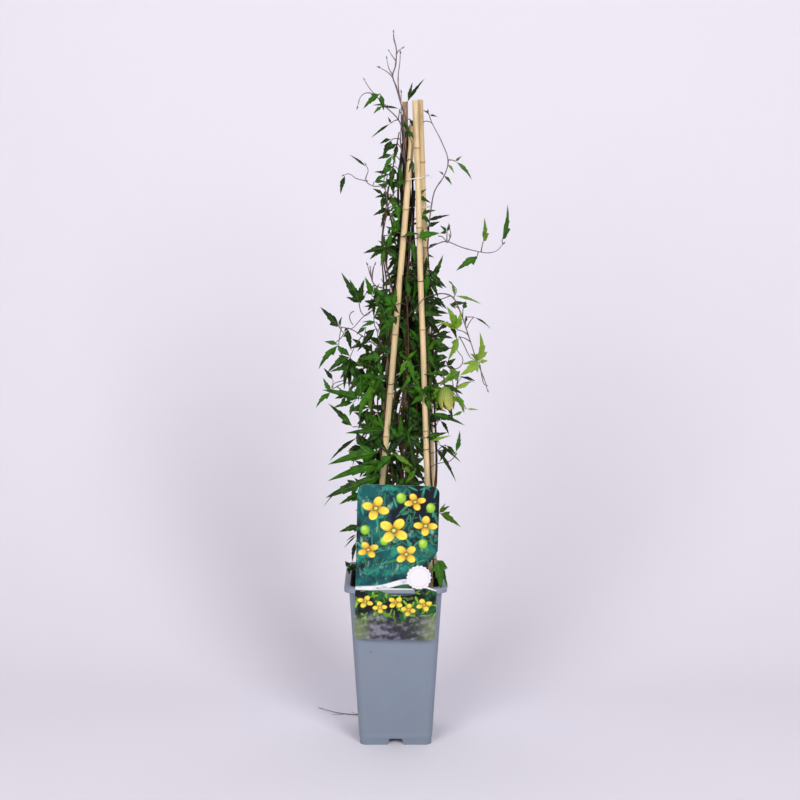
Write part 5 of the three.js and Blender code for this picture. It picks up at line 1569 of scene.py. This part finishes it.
# what the photograph shows from the front, by its place there: each joint, how far back it stands,
# how young the leaf is, and the tip and the width of each leaflet; then the thin stalks that show,
# each with how far back it stands and its points
shown = {
    "widen": 1.22,
    "leaves": [
        (388, 174, -8, 0.1, (374, 171, 3.5), (382, 178, 2.5)), (386, 169, -6, 0, (393, 163, 2.5)),
        (388, 187, -8, 0.1, (378, 184, 4)), (400, 188, -8, 0.15, (399, 160, 7), (391, 182, 5)),
        (398, 204, -8, 0.4, (398, 222, 5), (389, 203, 3), (388, 213, 3)),
        (397, 232, -10, 0.35, (385, 226, 3.5), (392, 214, 5), (399, 220, 4)),
        (387, 247, -12, 0.2, (363, 253, 6), (378, 240, 3), (392, 231, 5)),
        (403, 236, -22, 0.4, (420, 233, 5)), (418, 238, -24, 0.5, (440, 232, 8)),
        (413, 240, -8, 0.35, (414, 264, 6)), (426, 221, 4, 0, (451, 215, 3.5)),
        (427, 227, 2, 0, (440, 221, 4)), (447, 232, -4, 0.2, (440, 225, 3), (449, 223, 3), (440, 233, 3)),
        (428, 248, 4, 0, (437, 243, 3)), (430, 281, -8, 0.2, (444, 254, 6), (444, 288, 5), (438, 298, 5)),
        (372, 296, -14, 0.45, (365, 276, 6), (380, 283, 3)),
        (374, 303, -10, 0.15, (364, 301, 4), (368, 311, 4), (374, 317, 3), (381, 308, 3), (371, 298, 3)),
        (398, 316, -26, 0.2, (379, 331, 7)), (348, 328, -10, 0.1, (352, 351, 6), (344, 331, 3)),
        (376, 322, -6, 0.3, (361, 321, 2), (360, 326, 4)), (366, 327, -8, 0.3, (356, 334, 4)),
        (376, 328, -10, 0, (358, 352, 6)), (373, 351, -6, 0, (358, 343, 6)),
        (393, 355, -14, 0.1, (375, 343, 8)), (382, 357, -12, 0.25, (358, 360, 7)),
        (361, 375, -20, 0.3, (350, 385, 4), (360, 399, 8), (371, 384, 4), (383, 377, 6), (352, 379, 3)),
        (365, 364, -8, 0, (384, 375, 8)), (350, 360, -8, 0.1, (349, 389, 4), (357, 378, 5)),
        (384, 388, -12, 0.15, (370, 394, 5), (378, 402, 5)), (333, 380, -12, 0, (324, 367, 4)),
        (410, 297, -16, 0.3, (405, 275, 5)), (433, 296, -4, 0.1, (447, 309, 5)),
        (457, 330, -16, 0.8, (447, 306, 9), (460, 311, 6), (437, 320, 5)),
        (450, 304, -10, 0.1, (468, 302, 4), (456, 309, 3)), (463, 309, -12, 0.3, (466, 301, 5)),
        (466, 316, -12, 0, (465, 324, 3)), (474, 317, -14, 0, (491, 329, 2.5)),
        (459, 337, -18, 0.7, (447, 360, 6)), (451, 348, -12, 0.1, (434, 353, 4)),
        (447, 357, -12, 0.2, (436, 355, 3)), (446, 361, -12, 0.1, (437, 368, 4)),
        (438, 342, -8, 0.2, (432, 352, 5)), (450, 332, -10, 0, (435, 335, 4)),
        (460, 371, -22, 0.7, (438, 384, 8)), (452, 375, -20, 0.2, (423, 372, 6)),
        (462, 377, -16, 0.05, (476, 381, 3)), (471, 382, -30, 1, (452, 390, 4)),
        (442, 384, -34, 0.15, (464, 395, 5)), (434, 388, -24, 0.6, (446, 397, 5), (437, 402, 5)),
        (424, 396, -26, 0.3, (440, 381, 7), (412, 384, 7), (410, 404, 6), (431, 410, 6)),
        (360, 399, -22, 0.3, (321, 390, 8)), (354, 402, -20, 0.25, (333, 407, 5), (350, 417, 4)),
        (353, 427, -18, 0.1, (329, 402, 6)), (368, 428, -14, 0.15, (367, 406, 5)),
        (384, 430, -20, 0.3, (345, 430, 7), (360, 446, 5), (378, 412, 4)),
        (358, 437, -16, 0, (328, 460, 4)), (378, 452, -22, 0.3, (328, 461, 11)),
        (385, 462, -26, 0.3, (326, 482, 10), (360, 464, 5)), (384, 474, -24, 0.3, (340, 497, 9)),
        (392, 455, -34, 0.3, (371, 476, 7)), (380, 446, -14, 0.1, (362, 443, 6), (385, 463, 5)),
        (402, 440, -24, 0.3, (400, 415, 7), (388, 424, 5), (421, 437, 8), (413, 424, 6)),
        (396, 440, -20, 0.15, (386, 459, 6)), (392, 453, -32, 0.65, (416, 470, 5)),
        (416, 469, -32, 0.6, (405, 484, 5)), (410, 452, -22, 0.1, (418, 474, 7), (402, 470, 6)),
        (425, 438, -28, 0.25, (448, 433, 5)), (430, 441, -26, 1, (452, 436, 3)),
        (437, 443, -24, 0, (462, 463, 3)), (438, 450, -22, 0.1, (455, 481, 4), (442, 458, 4)),
        (428, 413, -24, 0.15, (466, 425, 6)), (432, 408, -22, 0.1, (447, 411, 3)),
        (457, 395, -38, 0.7, (464, 413, 6), (452, 404, 4)), (463, 411, -36, 0.6, (452, 416, 3)),
        (466, 409, -34, 1, (479, 410, 2)),
        (479, 362, -24, 0.85, (482, 331, 9), (470, 353, 5), (488, 361, 4), (460, 376, 8), (461, 364, 4)),
        (362, 483, -26, 0.3, (325, 495, 9)), (346, 484, -18, 0, (322, 508, 1.6)),
        (361, 493, -30, 0.2, (339, 504, 5.5)), (360, 525, -34, 0.15, (339, 532, 6)),
        (357, 534, -30, 0, (345, 541, 1.4)), (357, 535, -34, 0, (344, 548, 1.6)),
        (356, 541, -36, 0, (353, 561, 4)),
        (350, 566, -20, 0.1, (345, 561, 5), (353, 571, 5), (349, 575, 4)),
        (354, 570, -34, 0.15, (347, 565, 5), (352, 562, 4)),
        (439, 513, -20, 0.55, (461, 526, 6.5), (450, 505, 4), (446, 503, 2.5)),
        (437, 560, -44, 0.35, (448, 568, 5), (441, 589, 9), (449, 588, 4)),
        (436, 570, -30, 0, (432, 578, 5), (434, 586, 4)),
        (352, 366, -14, 0.3, (329, 372, 5), (340, 380, 5)), (345, 357, -18, 0.2, (334, 362, 4)),
        (362, 345, -4, 0.05, (352, 338, 4), (350, 348, 4)),
        (368, 352, -2, 0.2, (354, 366, 5), (376, 368, 6)),
        (378, 300, -2, 0.1, (386, 288, 5), (390, 305, 6)),
        (388, 312, -4, 0.1, (376, 300, 6), (384, 328, 6)),
        (370, 392, -10, 0.1, (356, 386, 6), (362, 402, 6)),
        (346, 396, -12, 0.2, (334, 398, 4), (341, 408, 4)),
        (366, 418, -8, 0.1, (354, 412, 5), (356, 424, 4)),
        (440, 420, -10, 0.1, (452, 414, 5), (450, 434, 4)),
        (374, 290, -30, 0.22, (399, 315, 13), (388, 319, 7)),
        (404, 121, -22, 0.2, (406, 130, 3), (411, 138, 3)),
        (408, 130, -24, 0.1, (414, 139, 3.5), (405, 139, 3)), (410, 119, -24, 0.1, (413, 127, 3)),
        (412, 160, -26, 0.15, (409, 174, 2.5), (414, 172, 2.5)), (400, 109, -8, 0, (376, 106, 2.2)),
        (459, 372, -26, 0.6, (441, 384, 7), (436, 386, 4)), (458, 376, -26, 0, (475, 382, 2)),
        (434, 352, -12, 0.15, (449, 346, 6)), (433, 362, -14, 0.15, (447, 356, 5), (445, 366, 4)),
        (440, 388, -30, 0.55, (432, 400, 7), (436, 410, 6)),
        (430, 384, -28, 0.2, (437, 404, 9), (427, 402, 8)),
        (446, 366, -6, 0.15, (456, 358, 5), (458, 372, 4)),
        (448, 322, -2, 0.1, (458, 340, 5), (438, 330, 5)),
        (444, 400, -8, 0.2, (436, 412, 6), (454, 420, 6)),
        (446, 445, -8, 0.1, (456, 456, 4), (440, 462, 5)),
    ],
    "stalks": [
        (-22, (399, 110), (404, 120), (408, 132), (412, 144), (411, 160), (412, 176)),
        (-4, (423, 122), (428, 121), (433, 124)), (-12, (359, 303), (361, 312), (366, 316), (373, 309)),
        (-8, (376, 308), (364, 316), (353, 328), (348, 328)),
        (-6, (375, 303), (374, 322), (377, 331), (379, 341), (386, 348)),
        (-10, (339, 327), (344, 333), (347, 329)), (-10, (344, 333), (341, 338), (335, 343)),
        (-12, (354, 311), (350, 314), (350, 320), (353, 325)),
        (-18, (459, 336), (464, 345), (470, 357), (477, 361)),
        (-20, (480, 365), (482, 377), (484, 384), (488, 386)),
        (-14, (446, 361), (449, 367), (455, 369), (461, 366), (463, 359), (460, 354), (455, 348)),
        (-12, (466, 317), (474, 317)), (-6, (450, 296), (442, 299), (433, 304), (428, 312)),
        (-6, (457, 453), (450, 461), (436, 464), (428, 470)), (-10, (346, 380), (335, 383), (331, 388)),
        (-8, (387, 213), (383, 235), (384, 255), (388, 275), (392, 292), (390, 310)),
        (-4, (383, 254), (387, 268), (391, 281), (394, 292)), (-6, (390, 283), (383, 282), (381, 279)),
        (-10, (385, 312), (382, 322), (378, 331)), (-26, (416, 311), (420, 303), (426, 297), (433, 295)),
        (-6, (412, 313), (416, 296), (414, 281), (417, 262)),
        (-6, (370, 266), (372, 281), (377, 287), (380, 297)), (-6, (374, 266), (372, 274), (372, 281)),
        (-8, (438, 236), (443, 237), (447, 243)), (-8, (449, 234), (450, 239), (447, 243)),
    ],
}


def fromPicture(pixel, y):
    # the place at a depth that the camera sees at this point of the picture
    down = math.radians(view["down"])
    aside = (pixel[0] - view["frame"] / 2) / view["focal"]
    lift = (view["frame"] / 2 - pixel[1]) / view["focal"]
    ray = np.array([aside, math.cos(down) + lift * math.sin(down), lift * math.cos(down) - math.sin(down)])
    start = np.array(view["place"], float)
    return start + ray * (y - start[1]) / ray[1]


stemLines = {name: woodLines(stem) for name, stem in stems.items()}


def nearestStem(place):
    near = {name: nearestOn(lines, place) for name, lines in stemLines.items()}
    name = min(near, key=lambda other: np.linalg.norm(near[other] - place))
    return name, near[name]


def shownLeaves():
    random = randomFrom(crown["seed"] + 1)
    grown = {name: [] for name in stems}
    for across, down, y, tone, *tips in shown["leaves"]:
        joint = fromPicture((across, down), y)
        name, root = nearestStem(joint - np.array([0, 0, 10]))
        ends = []
        for across, down, wide in tips:
            end = fromPicture((across, down), y)
            end[1] -= (0.4 * random() - 0.1) * np.linalg.norm(end - joint)
            ends.append((end, wide * shown["widen"]))
        face = np.array([0.5 * (random() - 0.5) + joint[0] / 150, -0.85, 0.2 + 0.5 * random()])
        grown[name].append({"root": root, "joint": joint, "ends": ends, "face": face, "tone": tone})
    return grown


def drawShown(leaf, random, leaflets, stalks):
    # leaflets that run straight from their joint to their tip
    joint, root = leaf["joint"], leaf["root"]
    for end, wide in leaf["ends"]:
        along = ways(end - joint)
        across = ways(np.cross(leaf["face"], along))
        basis = np.array([along, across, np.cross(along, across)])
        arm = {"length": np.linalg.norm(end - joint), "half": wide / 2, "height": 0, "angle": 0}
        sides = ("lobed" if wide > 6.5 else "plain", "lobed" if wide > 8.5 else "plain")
        sides = sides if random() < 0.5 else sides[::-1]
        leaflets.append(growLeaflet(leaf, sides, arm, basis, random, 0.4, leaf["tone"], 0.16))
    if np.linalg.norm(root - joint) > blade["seated"]:
        stalks.append(stalkBetween(root, joint, 0.2))


def insideCrown(leaf):
    heights, lefts, rights = np.array(crown["outline"], float).T
    for tip in leaf["tips"]:
        left, right = np.interp(tip[2], heights, lefts), np.interp(tip[2], heights, rights)
        if not left - crown["allow"] < tip[0] < right + crown["allow"]:
            return False
    return True


def crownLeaves():
    # leaves spread evenly through the crown, each on the stem that is nearest to it
    random = randomFrom(crown["seed"])
    heights, lefts, rights = np.array(crown["outline"], float).T
    fine = np.linspace(heights[0], heights[-1], 200)
    filled = np.cumsum(np.interp(fine, heights, rights - lefts))
    grown = {name: [] for name in stems}
    for i in range(crown["leaves"]):
        z = np.interp((evenly["along"] * i + 0.05 * random()) % 1 * filled[-1], filled, fine)
        turn = 2 * math.pi * ((evenly["around"] * i + 0.1 * random()) % 1)
        left, right = np.interp(z, heights, lefts), np.interp(z, heights, rights)
        half = max(4, (right - left) / 2 - crown["inset"])
        reach = 0.4 + 0.6 * math.sqrt(random())
        out = np.array([math.cos(turn), math.sin(turn), 0.0])
        joint = np.array([(left + right) / 2 + half * reach * out[0],
                          4 + half * crown["depth"] * reach * out[1], z])
        name, root = nearestStem(joint - np.array([0, 0, 9]))
        face, way, across = hanging(out, random(), random() ** 1.5)
        longest = crown["long"][0] + (crown["long"][1] - crown["long"][0]) * random()
        tips = []
        for fan in [0, 52, -52, 106, -106][:3 + math.floor(2 * random())]:
            angle = math.radians(fan + 22 * (random() - 0.5))
            length = longest * (1 if fan == 0 else 0.62 + 0.34 * random())
            tips.append(joint + (way * math.cos(angle) + across * math.sin(angle)) * length
                        - np.array([0, 0, length * 0.35 * random()]))
        leaf = {"root": root, "joint": joint, "tips": tips, "wide": 0.24 * longest, "face": face}
        if not hidesCane(leaf) and insideCrown(leaf):
            grown[name].append(layOut(leaf))
    return grown


# stems that climb close beside a cane: how far off it they stand, and between which heights
besideCanes = [
    ("cane_front_left", (-4.4, 2.5), 178, 540), ("cane_front_left", (3.4, 5), 230, 480),
    ("cane_front_right", (4.4, 3), 200, 470),
]


# dark stems that fill the middle between the canes higher up; all but the last wear near-black bark, painted
# shade between the canes
coreStems = [
    [(2, 4, 420), (4, 6, 470), (1.5, 5, 520), (4, 5, 570), (3, 4, 610), (6, 4, 650)],
    [(6, 6, 400), (8, 8, 460), (5, 7, 520), (7.5, 6, 580), (5.5, 5, 620), (7, 5, 660)],
    [(9, 4, 430), (7, 3, 480), (9, 2, 530), (6, 4, 590), (8.5, 5, 640), (7, 4, 690)],
    [(18, 4, 400), (16, 2, 460), (19, 3, 520), (17, 2, 570), (18.5, 1, 610), (17, 2, 650)],
    [(21, 6, 420), (19, 5, 470), (22, 4, 520), (19.5, 4, 570), (20.5, 3, 610)],
    [(14, 9, 380), (16, 8, 450), (13, 8, 520), (15, 7, 580), (13, 7, 630), (12, 6, 680)],
]

# small leaves by the canes above the crown: where each is held, its joint and its tips
highLeaves = [
    ((-3, -4, 648), [(-15, -8, 636), (-8, -8, 626), (4, -8, 640)], 5),
    ((-2, -6, 636), [(-6, -10, 612), (-14, -10, 624)], 7),
    ((-4, -2, 622), [(-16, -6, 612), (-2, -8, 604)], 6),
    ((2, 8, 660), [(-8, 6, 646), (-2, 4, 640)], 5),
    ((-6, 4, 606), [(-20, 2, 596), (-12, -2, 586), (4, -4, 592)], 7),
    ((24, 6, 604), [(38, 2, 596), (34, 0, 612)], 5),
    ((28, 4, 584), [(44, -2, 590), (40, 0, 572)], 6),
    ((-8, 2, 590), [(-24, -2, 582), (-16, -4, 570)], 6),
    ((20, 8, 632), [(28, 10, 618), (12, 12, 616)], 6),
]


def besideCane(name, off, low, high):
    points = []
    for z in np.arange(low, high, 26):
        x, y = lineAt(caneLines[name], z)
        points.append((x + off[0] + 1.2 * math.sin(z * 0.05), y + off[1] + math.sin(z * 0.031), z))
    return points


def tipLeaves(line, random):
    # a pair of small new leaves at the end of a shoot
    end, way = line[-1], ways(line[-1] - line[-2])
    aside = ways(np.cross(way, np.array([0.2, 1.0, 0.1])))
    leaves = []
    for side in (-1, 1):
        tip = end + (way + aside * side * (0.03 + 0.09 * random())) * (3.4 + 2.4 * random())
        leaf = {"root": end, "joint": end, "tips": [tip], "wide": 1.8, "face": np.array([0.2, -1.0, 0.3])}
        leaves.append(layOut(leaf))
    return leaves


def caneHold(name, z, random):
    # a petiole wound once and a bit round a cane, its free end reaching towards the middle
    turns = 1.15 + 0.5 * random()
    start = 6.283 * random()
    points = []
    for i in range(19):
        turn = start + turns * 2 * math.pi * i / 18
        rise = z + 2.6 * turns * i / 18 + 0.6 * math.sin(turn)
        x, y = lineAt(caneLines[name], rise)
        reach = cane["radius"] + 0.75
        points.append((x + reach * math.cos(turn), y + reach * math.sin(turn), rise))
    last = np.array(points[-1])
    heart = np.array([12, 0, last[2] + 8])
    tail = [last + (heart - last) * share + np.array([0, 0, 2.5 * math.sin(share * 5)])
            for share in (0.12, 0.26, 0.42, 0.6)]
    return np.array(points + tail), np.array([0.28] + [0.46] * 18 + [0.42, 0.4, 0.38, 0.3])


def toneAt(place, random):
    # young yellow-green leaves at the right and the top, darker ones at the left; leaves nearer the middle
    # are darker, painted shade inside the crown
    x, y, z = place
    edge = min(1, math.hypot(x - 12, y) / 60)
    tone = 0.26 * edge + 0.5 * random() ** 2
    if x > 38 and 340 < z < 520:
        tone += 0.34
    if x < -25 and z > 320:
        tone -= 0.16
    if x > 30 and z < 300:
        tone += 0.2
    if z > 560:
        tone += 0.06
    return tone


def leafageOf(leaflets, name, shader):
    leafage = joined(leaflets, name)
    wear(leafage, shader)
    editing(leafage)
    doneOutwards()
    return leafage


def drawHeart(random, wood, core, leaflets, stalks):
    # what only the middle stem carries: the wood and small leaves between the canes, and the thin stalks
    for i, points in enumerate(innerShoots + [besideCane(*beside) for beside in besideCanes]):
        fine = evenPoints(points, 5)
        wood.append((wobble(fine, 2.0, 40 + i), woodRadii(len(fine), 1.15, 0.6, 8)))
    for i, points in enumerate(coreStems):
        fine = evenPoints(points, 5)
        thick, into = (2.5, wood) if i == len(coreStems) - 1 else (1.9, core)
        into.append((wobble(fine, 1.2, 80 + i), woodRadii(len(fine), thick, 1.0, 7)))
    coreLines = [np.array(line, float) for line in coreStems]
    for joint, tips, wide in highLeaves:
        joint = np.array(joint, float)
        leaf = {"root": nearestOn(coreLines, joint - np.array([0, 0, 6])), "joint": joint, "wide": wide,
                "tips": [np.array(tip, float) for tip in tips], "face": np.array([joint[0] / 60, -0.9, 0.3])}
        drawLeaf(layOut(leaf), random, 0.12 + 0.3 * random(), leaflets, stalks)
    for y, *points in shown["stalks"]:
        line = evenPoints([tuple(fromPicture(point, y)) for point in points], 4)
        stalks.append((line, np.linspace(0.55, 0.4, len(line))))
    for held, heights in caneHolds.items():
        stalks += [caneHold(held, z, random) for z in heights]


def makeStem(name, order):
    stem, lines = stems[name], stemLines[name]
    random = randomFrom(stem["rule"]["seed"] + 500)
    run = evenPoints(stem["run"], 5)
    thick = stem["radius"]
    wood = [(wobble(run, 0.5, order * 11), woodRadii(len(run), thick * 1.12, thick * 0.35, 9))]
    shoots, stalks, leaflets, core, young = [], [], [], [], []
    for (radius, _, *rest), line in zip(stem["shoots"], lines[1:]):
        fine = evenPoints([line[0]] + rest, 3.5)
        shoots.append((wobble(fine, 0.5, order * 17), woodRadii(len(fine), radius * 0.95, radius * 0.5, 7)))
        for leaf in tipLeaves(fine, random):
            drawLeaf(leaf, random, 0.3, young, stalks)

    tree = cadTree(name)
    ruled = [layOut(leaf) for leaf in ruledLeaves(stem["run"], lines[0], stem["rule"])]
    standing = [leaf for leaf in ruled if standsInCad(leaf, tree)]
    kept = [leaf for leaf in standing if insideCrown(leaf)]
    for leaf in kept:
        drawLeaf(leaf, random, toneAt(leaf["joint"], random), leaflets, stalks)
    seen = seenLeaves(stem, lines)
    for leaf in seen:
        lengths = [np.linalg.norm(tip - leaf["joint"]) for tip in leaf["tips"]]
        leaf["ends"] = [(tip, min(leaf["wide"], 0.3 * far)) for tip, far in zip(leaf["tips"], lengths)]
        leaf["tone"] = toneAt(leaf["joint"], random)
    for leaf in seen + shownCrown[name]:
        drawShown(leaf, random, leaflets, stalks)
    inner = [leaf for leaf in ruledLeaves(stem["run"], lines[0], innerLeaves[name]) if not hidesCane(leaf)]
    # the leaves inside are given a dark tone, painted shade in the heart of the plant
    for leaf in inner:
        drawLeaf(layOut(leaf), random, 0.05 + 0.3 * random(), leaflets, stalks)
    for leaf in fullCrown[name]:
        drawLeaf(leaf, random, toneAt(leaf["joint"], random), leaflets, stalks)
    if name == "stem_middle":
        drawHeart(random, wood, core, leaflets, stalks)

    pieces = [makeTubes("woodOf" + name, wood, 10, bark)]
    if young:
        pieces.append(leafageOf(young, "tipsOf" + name, shootSkin))
    for part, rods, sides, shader in (("coreOf", core, 8, shadowBark), ("shootsOf", shoots, 6, shootSkin),
                                      ("stalksOf", stalks, 4, petioleSkin)):
        if rods:
            pieces.append(makeTubes(part + name, rods, sides, shader))
    pieces.append(leafageOf(leaflets, "leavesOf" + name, leafSkin))
    piece = joined(pieces, name + "Plant")
    settle(piece, 60)
    fit(piece, name)
    print(name, "ruled leaves", len(standing), "kept", len(kept), "seen", len(seen), "inside", len(inner))


def makeSkin(name, pale, dark, scale, rough, strength):
    # bark or a green skin, with ridges that run upwards
    shader = newMaterial(name, Roughness=rough, Specular_IOR_Level=0.35)
    place = shader.place()
    ridges = shader.noise(shader.stretched(place, (scale, scale, scale * 0.12)), 1, 4, 0.65, 0.5)
    base = shader.mix(shader.span(ridges, 0.35, 0.68), dark, pale)
    shader.base(shader.mix(shader.span(shader.noise(place, 55, 3), 0.45, 0.75, 0, 0.7), base, dark))
    shader.bump(ridges, strength, 0.0006)
    return shader


def makeVeinGroup():
    # the midrib and side veins of a leaflet, from its own lengthways and sideways measures
    group, shader, given, out = newGroup("leafVeins", [("Along", number, 0), ("Aside", number, 0)],
                                         [("Veins", number), ("Height", number)])
    off = shader.size(given["Aside"])
    midrib = shader.span(off, 0.03, 0.13, 1, 0)
    slanted = shader.minus(shader.times(given["Along"], 8.5), shader.times(off, 1.5))
    cycle = shader.size(shader.minus(shader.math("FRACT", slanted), 0.5))
    side = shader.times(shader.span(cycle, 0.0, 0.11, 1, 0), shader.span(off, 0.95, 0.5, 0.15, 0.75))
    shader.put(shader.math("MAXIMUM", midrib, side), out["Veins"])
    swell = shader.minus(shader.span(cycle, 0.0, 0.5), shader.times(midrib, 0.6))
    shader.put(swell, out["Height"])
    return group


def makeLeafSkin():
    shader = newMaterial("leafSkin", Specular_IOR_Level=0.14)
    place = shader.place()
    under = shader.span(shader.attribute("under"), 0.002, 0.02)
    aside = shader.attribute("aside")
    veins = useGroup(shader, makeVeinGroup(), Along=shader.attribute("along"), Aside=aside)
    blotch = shader.span(shader.noise(place, 130, 4, 0.6), 0.3, 0.7, -0.12, 0.12)
    tone = shader.plus(shader.attribute("tone"), blotch)
    base = shader.mix(shader.span(tone, 0.05, 0.48), finish["leafDark"], finish["leafGreen"])
    base = shader.mix(shader.span(tone, 0.45, 0.95), base, finish["leafYoung"])
    base = shader.mix(shader.times(veins["Veins"], 0.22), base, finish["vein"])
    base = shader.mix(shader.span(shader.size(aside), 0.8, 1.0, 0, 0.4), base, finish["edge"])
    base = shader.mix(shader.times(under, 0.36), base, finish["under"])
    shader.base(base)
    shader.rough(shader.span(under, 0, 1, 0.34, 0.62))
    shader.bump(veins["Height"], 0.35, 0.0006)
    glow = shader.add("ShaderNodeBsdfTranslucent")
    shader.fill(glow, Color=shader.mix(0.16, base, finish["leafYoung"]))
    shader.blend(0.15, shader.principled.outputs[0], glow.outputs[0])
    return shader


bark = makeSkin("stemBark", finish["bark"], finish["barkDark"], 900, 0.85, 0.7)
# near-black bark for the stems between the canes: painted shade
shadowBark = makeSkin("shadowBark", finish["barkDark"], finish["barkShadow"], 900, 0.9, 0.7)
shootSkin = makeSkin("shootSkin", finish["shoot"], finish["shootDark"], 500, 0.6, 0.3)
petioleSkin = makeSkin("petioleSkin", finish["petiole"], finish["petioleDark"], 300, 0.55, 0.2)
leafSkin = makeLeafSkin()
fullCrown = crownLeaves()
shownCrown = shownLeaves()
for order, name in enumerate(stems):
    makeStem(name, order)
for template, _ in leafletTemplates.values():
    bpy.data.objects.remove(template)
print("clematis made")


# bud: four pale sepals, closed into a hanging bell with their tips turned out

bud = {
    "top": (53, -34, 402), "length": 26, "radius": 8.6, "lean": 8, "overlap": 1.02, "flare": 1.3,
    "stalk": [(42.6, -0.9, 406), (47, -13, 414), (51.5, -28, 413), (53, -34, 400)],
    "profile": [(0, 0), (0.03, 0.4), (0.22, 0.8), (0.52, 1), (0.82, 0.86), (0.94, 0.66), (1, 0.62)],
    "across": [(0, 0.9), (0.1, 1), (0.3, 1), (0.6, 0.92), (0.85, 0.62), (1, 0.12)], "stamens": 26,
    "pale": rgb(184, 184, 88), "green": rgb(124, 146, 50), "vein": rgb(72, 92, 28),
    "stamen": rgb(206, 198, 132), "powder": rgb(190, 176, 100),
}


def makeSepal(across, along):
    bpy.ops.mesh.primitive_grid_add(x_subdivisions=across, y_subdivisions=along, size=2)
    sepal = namePiece("sepal")
    points = pointsOf(sepal)
    aside, t = points[:, 0], (points[:, 1] + 1) / 2
    reach = np.interp(t, *np.array(bud["profile"]).T) * bud["radius"]
    width = np.interp(t, *np.array(bud["across"]).T) * math.pi / 4 * bud["overlap"]
    turn = aside * width
    ribs = 0.18 * np.cos(aside * 9) + 0.35 * (1 - aside ** 2)
    flare = bud["flare"] * np.clip((t - 0.86) / 0.14, 0, 1) ** 2
    out = np.maximum(0.3, reach + ribs * np.sin(math.pi * t) + flare)
    placed = np.column_stack((out * np.cos(turn), out * np.sin(turn), -t * bud["length"]))
    setPoints(sepal, placed)
    setTone(sepal, "along", t)
    setTone(sepal, "aside", aside)
    return sepal, placed


def makeBudSkin():
    shader = newMaterial("budSkin", Roughness=0.5, Subsurface_Weight=0.25, Subsurface_Scale=0.002)
    ribs = shader.math("FRACT", shader.times(shader.attribute("aside"), 3.5))
    veins = shader.size(shader.minus(ribs, 0.5))
    base = shader.mix(shader.span(shader.attribute("along"), 0.9, 0.1), bud["pale"], bud["green"])
    blotches = shader.span(shader.noise(shader.place(), 300, 3), 0.4, 0.7, 0, 0.3)
    base = shader.mix(blotches, base, bud["green"])
    shader.base(shader.mix(shader.span(veins, 0.2, 0.04, 0, 0.75), base, bud["vein"]))
    shader.bump(veins, 0.3, 0.0004)
    return shader


def makeBud():
    template, shape = makeSepal(10, 16)
    lean = np.array(Matrix.Rotation(math.radians(-bud["lean"]), 3, "Y"))
    sepals = []
    for side in range(4):
        # each second sepal lies a little inside the others
        turned = np.array(Matrix.Rotation(side * math.pi / 2 + 0.3, 3, "Z"))
        grow = np.array([1 - 0.035 * (side % 2), 1 - 0.035 * (side % 2), 1 - 0.02 * (side == 3)])
        sepals.append(makeCopy(template, (shape * grow) @ turned.T @ lean.T + np.array(bud["top"])))
    bpy.data.objects.remove(template)
    petals = joined(sepals, "budSepals")
    addModifier(petals, "SOLIDIFY", thickness=0.45 * mm, offset=-1)
    applyModifiers(petals)
    wear(petals, makeBudSkin())
    stamens = []
    for i in range(bud["stamens"]):
        turn, far = i * 2.4, 2.6 * math.sqrt(i / bud["stamens"])
        way = np.array([math.cos(turn), math.sin(turn), 0])
        line = [way * far * share + np.array([0, 0, -5 - 15.5 * share]) for share in np.linspace(0, 1, 5)]
        radii = np.array([0.25, 0.22, 0.2, 0.34, 0.3])
        stamens.append((np.array(line) @ lean.T + np.array(bud["top"]), radii))
    shader = newMaterial("budStamens", Roughness=0.7)
    shader.base(shader.mix(shader.noise(shader.place(), 2500, 2), bud["stamen"], bud["powder"]))
    tuft = makeTubes("budStamens", stamens, 4, shader)
    line = evenPoints(bud["stalk"], 2.5)
    stalk = makeTubes("budStalk", [(line, np.linspace(0.7, 0.85, len(line)))], 8, petioleSkin)
    piece = joined([petals, tuft, stalk], "buddingFlower")
    settle(piece, 60)
    fit(piece, "bud")


makeBud()
print("bud made")


# root strand: a dry root that thins out to its tip, with two finer ones beside it

rootStrand = {
    "points": [(-26, 26, 9.3), (-26, 27, 5), (-22, 30, 2), (-10, 35, 0.9), (-3, 40, 0.9), (-8, 46, 0.9),
               (-26, 49, 0.9), (-46, 51, 1), (-68, 58, 0.9), (-92, 73, 1.6)],
    "radius": 0.75, "pale": rgb(104, 84, 66), "dark": rgb(58, 42, 32),
    "side": [[(-40, 50.5, 0.9), (-46, 55, 0.6), (-53, 62, 0.5)],
             [(-60, 55, 0.9), (-66, 53, 0.6), (-75, 54, 0.5)]],
}


def makeRootStrand():
    main = evenPoints(rootStrand["points"], 3)
    lines = [(main, woodRadii(len(main), rootStrand["radius"], 0.3, 6))]
    for points in rootStrand["side"]:
        fine = evenPoints(points, 2.5)
        lines.append((fine, np.linspace(0.3, 0.14, len(fine))))
    shader = newMaterial("dryRoot", Roughness=0.9)
    rough = shader.noise(shader.place(), 700, 5, 0.7)
    shader.base(shader.mix(shader.span(rough, 0.35, 0.65), rootStrand["dark"], rootStrand["pale"]))
    shader.bump(rough, 0.6, 0.0004)
    fit(makeTubes("rootStrandThread", lines, 8, shader), "root_strand")


makeRootStrand()
print("root strand made")
